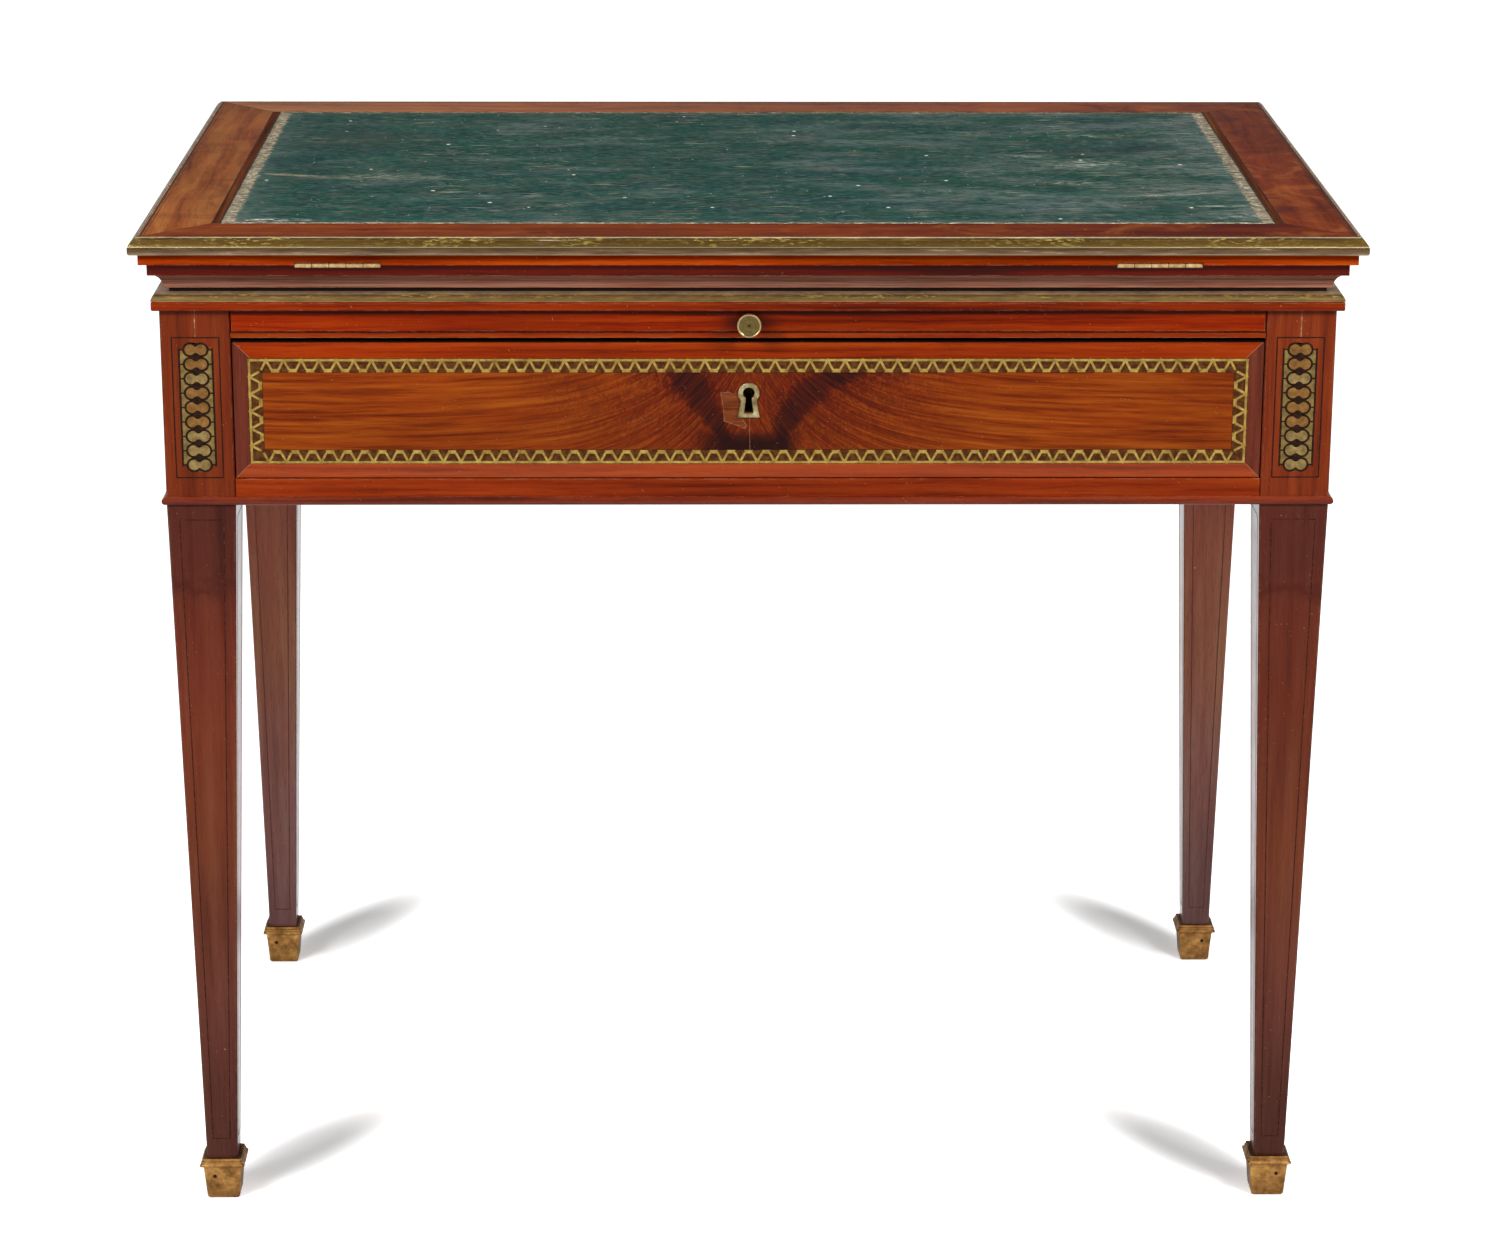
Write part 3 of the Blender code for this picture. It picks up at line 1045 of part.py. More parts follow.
def build_drawer():
    """The drawer: front with its inlay, sides, back and bottom."""
    front = piece("drawer_front",
                  block((-DRAWER_FRONT_HALF, -HALF_DEPTH, DRAWER_FRONT_BOTTOM),
                        (DRAWER_FRONT_HALF, FRONT_REAR, DRAWER_FRONT_TOP)),
                  "mahogany", "drawer", softened=EDGE_SOFTENING / 2)
    key_z = DRAWER_FRONT_TOP - KEY_HOLE_DROP
    lock_low = DRAWER_FRONT_TOP - LOCK_HEIGHT
    cut(front, band_ring(-SEAT_GAP, BAND_WIDTH + SEAT_GAP, -HALF_DEPTH - CUT_OVERRUN,
                         -HALF_DEPTH + INLAY_THICKNESS + SEAT_GAP))
    cut(front, block((-LOCK_WIDTH / 2 - SEAT_GAP, LOCK_FRONT - SEAT_GAP, lock_low - SEAT_GAP),
                     (LOCK_WIDTH / 2 + SEAT_GAP, FRONT_REAR + CUT_OVERRUN, DRAWER_FRONT_TOP + CUT_OVERRUN)))
    hole = key_outline(KEY_HOLE_RADIUS, KEY_NECK_HALF_WIDTH, KEY_NECK_DROP, KEY_SLOT_HALF_WIDTH,
                       KEY_SLOT_DROP, key_z)
    cut(front, prism(hole, "Y", -HALF_DEPTH - CUT_OVERRUN, LOCK_FRONT))
    piece("drawer_inlay_band", band_ring(0.0, BAND_WIDTH, -HALF_DEPTH, -HALF_DEPTH + INLAY_THICKNESS),
          "brass", "drawer")
    plate = key_outline(ESCUTCHEON_RADIUS, ESCUTCHEON_NECK_HALF_WIDTH, ESCUTCHEON_NECK_DROP,
                        ESCUTCHEON_FOOT_HALF_WIDTH, ESCUTCHEON_FOOT_DROP, key_z)
    plate_rear = -HALF_DEPTH - SEAT_GAP
    escutcheon = piece("escutcheon", prism(plate, "Y", plate_rear - ESCUTCHEON_THICKNESS, plate_rear),
                       "brass", "drawer")
    cut(escutcheon, prism(hole, "Y", plate_rear - ESCUTCHEON_THICKNESS - CUT_OVERRUN,
                          plate_rear + CUT_OVERRUN))

    lock = piece("lock_case", block((-LOCK_WIDTH / 2, LOCK_FRONT, lock_low),
                                    (LOCK_WIDTH / 2, FRONT_REAR, DRAWER_FRONT_TOP)),
                 "brass", "drawer")
    bolt_low = DRAWER_FRONT_TOP - BOLT_LENGTH
    cut(lock, block((-BOLT_WIDTH / 2 - SEAT_GAP, BOLT_FRONT - SEAT_GAP, bolt_low - SEAT_GAP),
                    (BOLT_WIDTH / 2 + SEAT_GAP, BOLT_FRONT + BOLT_DEPTH + SEAT_GAP,
                     DRAWER_FRONT_TOP + CUT_OVERRUN)))
    piece("lock_bolt", block((-BOLT_WIDTH / 2, BOLT_FRONT, bolt_low),
                             (BOLT_WIDTH / 2, BOLT_FRONT + BOLT_DEPTH, DRAWER_FRONT_TOP)),
          "steel", "bolt")

    side_outer = DIVIDER_INNER - DRAWER_SIDE_GAP
    side_inner = side_outer - DRAWER_WALL
    side_low = RUNNER_TOP + SEAT_GAP
    side_high = KICKER_BOTTOM - DRAWER_SIDE_GAP
    floor_low = side_low + DRAWER_FLOOR_RISE
    for side in (-1, 1):
        low_x, high_x = sorted((side * side_inner, side * side_outer))
        piece(f"drawer_side_{side_name(side)}",
              block((low_x, BEHIND_FRONT, side_low), (high_x, DRAWER_REAR, side_high)), "oak", "drawer",
              softened=EDGE_SOFTENING / 2)
    inner_half = side_inner - SEAT_GAP
    back_front = DRAWER_REAR - DRAWER_WALL
    piece("drawer_bottom",
          block((-inner_half, BEHIND_FRONT, floor_low),
                (inner_half, DRAWER_REAR, floor_low + DRAWER_FLOOR)),
          "oak", "drawer")
    piece("drawer_back",
          block((-inner_half, back_front, floor_low + DRAWER_FLOOR + SEAT_GAP),
                (inner_half, DRAWER_REAR, side_high - DRAWER_BACK_DROP)),
          "oak", "drawer")


def clear_scene():
    """Remove whatever the scene holds."""
    for found in list(bpy.data.objects):
        bpy.data.objects.remove(found, do_unlink=True)


def main():
    """Build the whole table."""
    clear_scene()
    for name, (colour, roughness, metallic) in FINISHES.items():
        finishes[name] = make_finish(name, colour, roughness, metallic)
    for name, origin in BODY_ORIGINS.items():
        body = bpy.data.objects.new(f"body_{name}", None)
        body.location = origin
        bpy.context.collection.objects.link(body)
        bodies[name] = body
    build_case()
    build_lifting_gear()
    build_top_frame()
    build_board()
    build_easel()
    build_slide()
    build_drawer()


main()
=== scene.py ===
"""Looks of the drafting table: veneers, brass inlays, gilt leather, studio and camera.

All lengths are in metres unless a name ends in _mm. The object's coordinates are those
of the model: +Z up, the drawer facing -Y, the origin on the floor under the middle.
"""

import logging
import math
import random
from collections.abc import Callable, Sequence
from dataclasses import dataclass, field
from enum import Enum

import bmesh
import bpy
from mathutils import Matrix, Vector


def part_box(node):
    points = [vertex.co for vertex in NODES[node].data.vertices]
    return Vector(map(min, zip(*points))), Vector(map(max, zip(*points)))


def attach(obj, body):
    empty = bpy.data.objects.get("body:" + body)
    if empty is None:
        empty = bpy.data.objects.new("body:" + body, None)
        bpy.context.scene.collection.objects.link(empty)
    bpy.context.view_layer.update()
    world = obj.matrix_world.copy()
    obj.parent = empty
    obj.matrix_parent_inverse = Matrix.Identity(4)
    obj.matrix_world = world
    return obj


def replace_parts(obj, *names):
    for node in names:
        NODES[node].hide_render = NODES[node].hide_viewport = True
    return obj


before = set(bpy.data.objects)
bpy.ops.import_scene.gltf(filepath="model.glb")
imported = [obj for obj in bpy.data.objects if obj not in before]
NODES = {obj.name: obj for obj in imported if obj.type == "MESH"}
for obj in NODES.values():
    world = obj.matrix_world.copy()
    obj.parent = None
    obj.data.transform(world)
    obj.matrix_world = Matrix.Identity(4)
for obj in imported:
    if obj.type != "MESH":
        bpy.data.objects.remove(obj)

LOG = logging.getLogger("drafting_table")
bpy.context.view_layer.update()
MM = 0.001
# the height where the case ends and the legs begin to taper
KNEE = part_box("side_panel_left")[0].z
SIDES = ("left", "right")
# the two ways in which one colour meets another: laid over it, or staining it darker
LAY = {"data_type": "RGBA"}
STAIN = {"data_type": "RGBA", "blend_type": "MULTIPLY"}

Socket = bpy.types.NodeSocket
Point = tuple[float, float]
Triple = tuple[float, float, float]
Outline = Sequence[Point]
Stops = Sequence[tuple[float, str | float]]
Place = Callable[[float, float, float], Vector]


class Axis(Enum):
    """The direction that a grain or a brushed finish runs in."""

    X = 0
    Y = 1
    Z = 2


def srgb(code: str) -> tuple[float, float, float, float]:
    """Turn a hex colour into the linear values that a shader takes.

    Args:
        code: six hex digits.

    Returns:
        Linear red, green and blue, with an alpha of one.
    """
    values = []
    for start in (0, 2, 4):
        value = int(code[start:start + 2], 16) / 255
        values.append(value / 12.92 if value <= 0.04045 else ((value + 0.055) / 1.055) ** 2.4)
    return (values[0], values[1], values[2], 1.0)


@dataclass
class Graph:
    """A node tree while it is built, with its shader and the coordinates it is read at."""

    tree: bpy.types.NodeTree
    shader: bpy.types.Node
    place: Socket | None = None

    def give(self, socket: Socket, value: object) -> None:
        """Link a socket or set its value.

        Args:
            socket: the input.
            value: an output, a hex colour or a plain value; None leaves the input as it is.
        """
        if isinstance(value, bpy.types.NodeSocket):
            self.tree.links.new(value, socket)
        elif value is not None:
            socket.default_value = srgb(value) if isinstance(value, str) else value

    def add(self, kind: str, *values: object, stops: Stops = (), **settings: object) -> Socket:
        """Add a node with its settings and its links.

        Args:
            kind: the node's type, after the words ShaderNode.
            values: what the inputs in use take, in the node's own order.
            stops: a colour ramp's stops, each a place and a hex colour or a grey level.
            settings: the node's own properties, and inputs by name with a capital.

        Returns:
            The first output that the node uses; its node holds the others.
        """
        node = self.tree.nodes.new(f"ShaderNode{kind}")
        for name, value in settings.items():
            if not name[0].isupper():
                setattr(node, name, value)
        for socket, value in zip([item for item in node.inputs if item.enabled], values):
            self.give(socket, value)
        for name, value in settings.items():
            if name[0].isupper():
                self.give(node.inputs[name], value)
        for index, (place, tone) in enumerate(stops):
            elements = node.color_ramp.elements
            element = elements[index] if index < len(elements) else elements.new(place)
            element.position = place
            element.color = srgb(tone) if isinstance(tone, str) else (tone, tone, tone, 1.0)
        return next(output for output in node.outputs if output.enabled)

    def wire(self, inputs: dict[str, object]) -> None:
        """Link or set the shader's own inputs.

        Args:
            inputs: what each named input takes.
        """
        for name, value in inputs.items():
            self.give(self.shader.inputs[name], value)

    def streaks(
        self, place: Socket, axis: Axis, length_mm: float, width_mm: float, detail: float = 4.0,
        roughness: float = 0.6,
    ) -> Socket:
        """A soft noise drawn out along one axis, as grain is.

        Args:
            place: where the pattern is read, in metres.
            axis: the way that the streaks run.
            length_mm: how long a streak is.
            width_mm: how wide it is.
            detail: how many finer layers the noise has.
            roughness: how strong the finer layers are.

        Returns:
            A value round one half.
        """
        scale = [1.0 / (width_mm * MM)] * 3
        scale[axis.value] = 1.0 / (length_mm * MM)
        return self.add("TexNoise", self.add("Mapping", place, None, None, scale), 1.0, detail, roughness)

    def oval(self, centre: Triple, reach: Triple, turn: float, inner: float, strength: float) -> Socket:
        """A mask that fades outward from the middle of an oval.

        Args:
            centre: the oval's middle.
            reach: how far it reaches along each axis.
            turn: how far it is turned about the upright axis.
            inner: the share of the reach where it begins to fade.
            strength: its value in the middle.

        Returns:
            The mask.
        """
        aimed = self.add("Mapping", self.place, centre, (0.0, 0.0, turn), reach, vector_type="TEXTURE")
        away = self.add("VectorMath", aimed, operation="LENGTH")
        return self.add("MapRange", away, inner, 1.0, strength, 0.0, interpolation_type="SMOOTHSTEP")

    def inward(self, half_x: float, half_y: float) -> tuple[Socket, Socket, tuple[Socket, ...]]:
        """How far a point lies inside a rectangle about the middle.

        Args:
            half_x: half the rectangle's length.
            half_y: half its depth.

        Returns:
            The distance to the nearer end, that to the nearer side, and x, y and z.
        """
        split = tuple(self.add("SeparateXYZ", self.place).node.outputs)
        inside = [
            self.add("Math", half, self.add("Math", value, operation="ABSOLUTE"), operation="SUBTRACT")
            for half, value in zip((half_x, half_y), split)
        ]
        return inside[0], inside[1], split

    def mitred(
        self, inside: tuple[Socket, Socket], woods: tuple[Socket, Socket], joint: tuple[float, float, str]
    ) -> Socket:
        """Two veneers that meet in a mitre, with the line of their joint.

        Args:
            inside: the distances to the nearer end and to the nearer side.
            woods: the veneer along the sides and the one along the ends.
            joint: the line's half-width, its strength and its tone.

        Returns:
            The colour.
        """
        width, strength, tone = joint
        at_end = self.add("Math", *inside, operation="LESS_THAN")
        colour = self.add("Mix", at_end, *woods, **LAY)
        line = self.add("Math", *inside, operation="SUBTRACT")
        line = self.add("Math", line, operation="ABSOLUTE")
        line = self.add("Math", line, width, operation="LESS_THAN")
        line = self.add("Math", line, strength, operation="MULTIPLY")
        return self.add("Mix", line, colour, tone, **LAY)


@dataclass(frozen=True)
class Flecks:
    """Small round marks, thinly spread.

    They lie a spacing apart. Core and edge are shares of the spacing where a mark is full
    and where it ends, and fewest is the share of the places that stay bare.
    """

    spacing_mm: float
    core: float
    edge: float
    strength: float
    fewest: float
    tone: str
    ease: float = 0.03

    def over(self, graph: Graph, colour: Socket) -> Socket:
        """Lay the marks over a colour.

        Args:
            graph: the material's nodes.
            colour: what they lie on.

        Returns:
            The colour.
        """
        cells = graph.add("TexVoronoi", graph.place, 1 / (self.spacing_mm * MM)).node.outputs
        shape = ((self.core, self.strength), (self.edge, 0.0))
        chance = ((self.fewest, 0.0), (self.fewest + self.ease, 1.0))
        mark = graph.add("ValToRGB", cells["Distance"], stops=shape)
        kept = graph.add("ValToRGB", cells["Color"], stops=chance)
        shown = graph.add("Math", mark, kept, operation="MULTIPLY")
        return graph.add("Mix", shown, colour, self.tone, **LAY)


@dataclass(frozen=True)
class Finish:
    """One finish of the table: it makes its material once and hands it out."""

    name: str

    def material(self) -> bpy.types.Material:
        """The finish's material, made when it is first asked for.

        Returns:
            The material.
        """
        found = bpy.data.materials.get(self.name)
        if found is None:
            found = bpy.data.materials.new(self.name)
            found.use_nodes = True
            graph = Graph(found.node_tree, found.node_tree.nodes["Principled BSDF"])
            graph.place = graph.add("TexCoord").node.outputs["Object"]
            self.shade(graph)
        return found

    def shade(self, graph: Graph) -> None:
        """Build the finish's nodes.

        Args:
            graph: the material's nodes.
        """
        raise NotImplementedError


@dataclass(frozen=True)
class PolishedMahogany(Finish):
    """Cuban mahogany veneer, French-polished: red-brown, streaked, under a thin gloss.

    The polish is a clear coat of a low index, so it shines only at a grazing angle.
    """

    dark: str = "4A150A"
    middle: str = "8A2F12"
    light: str = "B4551F"
    axis: Axis = Axis.X
    streak_mm: float = 7.0
    streak_length_mm: float = 260.0
    # real pores are 0.2 mm wide, too fine to show, and are drawn coarser
    pore_mm: float = 0.7
    pore_strength: float = 0.35
    mottle: float = 0.35
    sway: float = 0.008
    roughness: float = 0.34
    reflection: float = 0.03
    gloss: float = 0.9
    gloss_index: float = 1.12
    # pale lines on the arrises: partly polish rubbed off, partly a painted highlight
    arris_mm: float = 0.9
    arris_wear_and_highlight: float = 0.6
    arris_tone: str = "C89674"
    chips: Flecks = Flecks(29.0, 0.012, 0.03, 0.8, 0.6, "D8A888")
    # hair scratches are drawn wider than real ones, which are too fine to show
    hair_mm: Point = (34.0, 0.9)
    hair_turn: Triple = (0.4, 0.7, 0.3)
    hair_tone: str = "C88A66"
    sway_mm: float = 167.0
    wear_mm: float = 16.0
    sheen_mm: float = 26.0
    ripple_mm: float = 18.0
    ripple_depth: float = 0.0004
    eased: float = 0.0006

    def grain(self, graph: Graph, place: Socket, axis: Axis) -> Socket:
        """The wood's colour: figure, mottle and pores.

        Args:
            graph: the material's nodes.
            place: where the pattern is read.
            axis: the way that the grain runs.

        Returns:
            The colour.
        """
        sway = graph.add("TexNoise", place, 1 / (self.sway_mm * MM), 2.0).node.outputs["Color"]
        drift = graph.add("VectorMath", sway, (0.5, 0.5, 0.5), operation="SUBTRACT")
        bent = graph.add("VectorMath", drift, (self.sway,) * 3, place, operation="MULTIPLY_ADD")
        figure = graph.streaks(bent, axis, self.streak_length_mm, self.streak_mm, 6.0, 0.62)
        wood = graph.add(
            "ValToRGB", figure, stops=((0.28, self.dark), (0.47, self.middle), (0.7, self.light)),
        )
        cloud = graph.streaks(bent, axis, self.streak_length_mm, self.streak_mm * 9, 3.0, 0.5)
        tone = graph.add("ValToRGB", cloud, stops=((0.34, 0.42), (0.66, 1.0)))
        wood = graph.add("Mix", self.mottle * 2, wood, tone, **STAIN)
        pores = graph.streaks(bent, axis, self.pore_mm * 28, self.pore_mm, 2.0, 0.5)
        marks = graph.add("ValToRGB", pores, stops=((0.54, 1.0), (0.68, 0.25)))
        return graph.add("Mix", self.pore_strength, wood, marks, **STAIN)

    def nicked(self, graph: Graph, colour: Socket) -> Socket:
        """A few pale chips and hair scratches in the polish.

        Args:
            graph: the material's nodes.
            colour: the wood's colour.

        Returns:
            The colour.
        """
        colour = self.chips.over(graph, colour)
        turned = graph.add("Mapping", graph.place, None, self.hair_turn)
        hairs = graph.streaks(turned, Axis.Z, *self.hair_mm, 1.0, 0.4)
        shown = graph.add("ValToRGB", hairs, stops=((0.76, 0.0), (0.8, 0.5)))
        return graph.add("Mix", shown, colour, self.hair_tone, **LAY)

    def rubbed(self, graph: Graph, colour: Socket) -> Socket:
        """Pale broken lines on the arrises: partly polish rubbed off, partly a painted highlight.

        Args:
            graph: the material's nodes.
            colour: the wood's colour.

        Returns:
            The colour.
        """
        rounded = graph.add("Bevel", self.arris_mm * MM, samples=6)
        flat = graph.add("NewGeometry").node.outputs["Normal"]
        turn = graph.add("VectorMath", rounded, flat, operation="DOT_PRODUCT")
        edge = graph.add("MapRange", turn, 0.985, 0.90, 0.0, self.arris_wear_and_highlight)
        patches = graph.add("TexNoise", graph.place, 1 / (self.wear_mm * MM), 6.0, 0.75)
        patches = graph.add("ValToRGB", patches, stops=((0.48, 0.0), (0.58, 1.0)))
        mask = graph.add("Math", edge, patches, operation="MULTIPLY")
        return graph.add("Mix", mask, colour, self.arris_tone, **LAY)

    def polish(self, graph: Graph, colour: Socket) -> None:
        """Lay the polish over the wood: an uneven sheen and a thin clear coat.

        Args:
            graph: the material's nodes.
            colour: the wood's colour.
        """
        colour = self.nicked(graph, colour)
        if self.arris_wear_and_highlight:
            colour = self.rubbed(graph, colour)
        cloud = graph.add("TexNoise", graph.place, 1 / (self.sheen_mm * MM), 5.0, 0.65)
        sheen = graph.add("MapRange", cloud, 0.3, 0.7, self.roughness - 0.07, self.roughness + 0.12)
        ripple = graph.add("TexNoise", graph.place, 1 / (self.ripple_mm * MM), 3.0)
        eased = graph.add("Bevel", self.eased, samples=4)
        bump = graph.add("Bump", 0.25, self.ripple_depth, Height=ripple, Normal=eased)
        graph.wire({
            "Base Color": colour, "Roughness": sheen, "Normal": bump, "Coat Normal": bump, "IOR": 1.5,
            "Specular IOR Level": self.reflection, "Coat Weight": self.gloss, "Coat Roughness": 0.16,
            "Coat IOR": self.gloss_index,
        })

    def shade(self, graph: Graph) -> None:
        """Straight-grained veneer all over the piece.

        Args:
            graph: the material's nodes.
        """
        self.polish(graph, self.grain(graph, graph.place, self.axis))


@dataclass(frozen=True)
class PostAndLegVeneer(PolishedMahogany):
    """One leg: the case's red veneer on the post, and darker upright veneer below the knee."""

    post: PolishedMahogany = PolishedMahogany(
        "post_grain", "581C0A", "883210", "A0441A", mottle=0.25, streak_mm=9.0,
    )
    knot_drop: float = 0.066
    curl_mm: float = 22.0
    curl_height: float = 0.05
    knot_reach: float = 0.01
    # painted light and shade by height, as a share of the knee's: darkest just under the case, darker and
    # cooler again towards the floor
    tones: Stops = (
        (0.08, "C0D4E0"), (0.16, "D1E3EC"), (0.30, "EEFCFF"), (0.52, "FFFFD4"), (0.70, "F2D8B4"),
        (0.86, "DCC2AE"), (0.91, "C0B0A6"), (0.95, "BDAEA8"),
    )

    def shade(self, graph: Graph) -> None:
        """Change veneers at the knee, with a dark curl in the figure a little below it.

        Args:
            graph: the material's nodes.
        """
        height = graph.add("SeparateXYZ", graph.place).node.outputs[2]
        upper = self.post.grain(graph, graph.place, Axis.Z)
        lower = self.grain(graph, graph.place, Axis.Z)
        curl = graph.add("TexNoise", graph.place, 1 / (self.curl_mm * MM), 4.0, 0.6)
        curl = graph.add("Math", curl, 0.5, operation="SUBTRACT")
        bend = graph.add("Math", curl, self.curl_height, operation="MULTIPLY")
        level = graph.add("Math", height, bend, operation="ADD")
        away = graph.add("Math", level, KNEE - self.knot_drop, operation="SUBTRACT")
        away = graph.add("Math", away, operation="ABSOLUTE")
        away = graph.add("Math", away, 1 / self.knot_reach, operation="MULTIPLY")
        knot = graph.add("ValToRGB", away, stops=((0.0, 0.75), (0.9, 0.0)))
        lower = graph.add("Mix", knot, lower, self.dark, **LAY)
        share = graph.add("Math", height, KNEE, operation="DIVIDE")
        # painted light and shade by height over the wood below the knee
        lower = graph.add("Mix", 1.0, lower, graph.add("ValToRGB", share, stops=self.tones), **STAIN)
        above = graph.add("Math", height, KNEE, operation="GREATER_THAN")
        self.polish(graph, graph.add("Mix", above, lower, upper, **LAY))


@dataclass(frozen=True)
class FlameVeneer(PolishedMahogany):
    """The drawer front: a crotch-figured panel in a mitred border of plain veneer."""

    half_width: float = 0.38
    low: float = 0.63
    high: float = 0.70
    outer_half_width: float = 0.39
    outer_low: float = 0.6
    outer_high: float = 0.71
    haze: str = "C48E70"
    lower_haze: float = 0.09
    # a near-black line of painted shade along the top edge, for the shaded gap above the drawer
    top_gap_shade: str = "140603"
    top_gap_shade_height: float = 0.0013
    level_wood: PolishedMahogany = PolishedMahogany(
        "border_grain", "661A02", "A43406", "BC4A0C", mottle=0.2, streak_mm=5.0,
    )
    upright_wood: PolishedMahogany = PolishedMahogany(
        "end_grain", "451A12", "6E3022", "84402C", mottle=0.25, streak_mm=6.0,
    )
    mitre: tuple[float, float, str] = (0.0004, 0.55, "B07A5E")
    plume: str = "280F0B"
    plume_light: str = "581C0F"
    pool: str = "200B0A"
    blush: str = "74220F"
    curl: str = "46130C"
    sweep_reach: float = 0.058
    sweep_height: float = 0.12
    rib_mm: Point = (60.0, 1.6)
    feather_mm: Point = (26.0, 2.2)
    rough_mm: float = 10.5
    wander_mm: float = 24.0
    curl_mm: float = 5.0
    # each limb's place at the foot, its lean and its curve; its half-width and how that grows
    left_limb: Triple = (0.0125, 0.63, -1.0)
    left_limb_width: Point = (0.0044, 0.12)
    right_limb: Triple = (0.0265, -0.25, 16.2)
    right_limb_width: Point = (0.0040, 0.20)
    pool_height: float = 0.0108
    pool_half_width: float = 0.0285

    def limb(self, graph: Graph, aside: Socket, rise: Socket, shape: Triple, width: Point) -> Socket:
        """How far a point lies from one dark limb of the figure, in limb half-widths.

        Args:
            graph: the material's nodes.
            aside: the distance out from the middle on the limb's own side.
            rise: the height over the panel's lower edge.
            shape: the limb's place at the foot, its lean and its curve.
            width: its half-width at the foot, and how fast that grows with height.

        Returns:
            The distance.
        """
        start, lean, curve = shape
        bend = graph.add("Math", rise, rise, operation="MULTIPLY")
        bend = graph.add("Math", bend, curve, operation="MULTIPLY")
        place = graph.add("Math", rise, lean, operation="MULTIPLY")
        place = graph.add("Math", place, start, operation="ADD")
        place = graph.add("Math", place, bend, operation="ADD")
        gap = graph.add("Math", aside, place, operation="SUBTRACT")
        gap = graph.add("Math", gap, operation="ABSOLUTE")
        half = graph.add("Math", rise, width[1], operation="MULTIPLY")
        half = graph.add("Math", half, width[0], operation="ADD")
        return graph.add("Math", gap, half, operation="DIVIDE")

    def panel(self, graph: Graph, aside: Socket, place: Sequence[Socket]) -> Socket:
        """Level grain that sweeps up into two dark limbs and the pool between their feet.

        Args:
            graph: the material's nodes.
            aside: the distance out from the middle.
            place: the coordinates' x, y and z.

        Returns:
            The panel's colour.
        """
        x, y, z = place
        lift = graph.add("Math", aside, -self.sweep_reach, operation="DIVIDE")
        lift = graph.add("Math", lift, operation="EXPONENT")
        swept_z = graph.add("Math", lift, -self.sweep_height, z, operation="MULTIPLY_ADD")
        swept = graph.add("CombineXYZ", x, y, swept_z)
        wood = self.grain(graph, swept, Axis.X)
        ribs = graph.streaks(swept, Axis.X, *self.rib_mm, 4.0, 0.62)
        ribs = graph.add("ValToRGB", ribs, stops=((0.38, 0.3), (0.53, 1.0)))
        nearby = graph.add("MapRange", aside, 0.03, 0.19, 0.95, 0.2)
        wood = graph.add("Mix", nearby, wood, ribs, **STAIN)

        rough = graph.add("TexNoise", graph.place, 1 / (self.rough_mm * MM), 5.0, 0.72)
        wander = graph.add("TexNoise", graph.place, 1 / (self.wander_mm * MM), 2.0)
        feather = graph.streaks(swept, Axis.X, *self.feather_mm, 5.0, 0.7)
        stir = -2.0
        for pattern, strength in ((rough, 1.6), (feather, 1.3), (wander, 1.1)):
            stir = graph.add("Math", pattern, strength, stir, operation="MULTIPLY_ADD")
        rise = graph.add("Math", z, self.low, operation="SUBTRACT")
        mirrored = graph.add("Math", x, -1.0, operation="MULTIPLY")
        left = self.limb(graph, mirrored, rise, self.left_limb, self.left_limb_width)
        right = self.limb(graph, x, rise, self.right_limb, self.right_limb_width)
        near = graph.add("Math", left, right, operation="MINIMUM")
        up = graph.add("Math", rise, self.pool_height, operation="DIVIDE")
        out = graph.add("Math", aside, self.pool_half_width, operation="DIVIDE")
        pool = graph.add("Math", up, out, operation="MAXIMUM")
        near = graph.add("Math", stir, 1.0, near, operation="MULTIPLY_ADD")
        pool = graph.add("Math", stir, 0.3, pool, operation="MULTIPLY_ADD")
        near = graph.add("Math", near, pool, operation="MINIMUM")

        # curled fibres redden the wood round the limbs
        zone = graph.add("Math", near, 0.11, operation="MULTIPLY")
        zone = graph.add("ValToRGB", zone, stops=((0.12, 1.0), (0.72, 0.0)))
        higher = graph.add("MapRange", rise, 0.0, 0.05, 0.45, 1.0)
        zone = graph.add("Math", zone, higher, operation="MULTIPLY")
        curls = graph.add("TexNoise", swept, 1 / (self.curl_mm * MM), 6.0, 0.7, Distortion=1.6)
        curls = graph.add("ValToRGB", curls, stops=((0.44, 0.0), (0.54, 0.95)))
        for share, tone in ((0.75, self.blush), (curls, self.curl)):
            mask = graph.add("Math", zone, share, operation="MULTIPLY")
            wood = graph.add("Mix", mask, wood, tone, **LAY)

        dark = graph.add("Math", near, 0.4, operation="MULTIPLY")
        dark = graph.add("ValToRGB", dark, stops=((0.22, 0.98), (0.42, 0.8), (0.62, 0.0)))
        plume = graph.add("ValToRGB", feather, stops=((0.42, self.plume), (0.66, self.plume_light)))
        foot = graph.add("MapRange", rise, 0.008, 0.022, 0.9, 0.0)
        plume = graph.add("Mix", foot, plume, self.pool, **LAY)
        return graph.add("Mix", dark, wood, plume, **LAY)

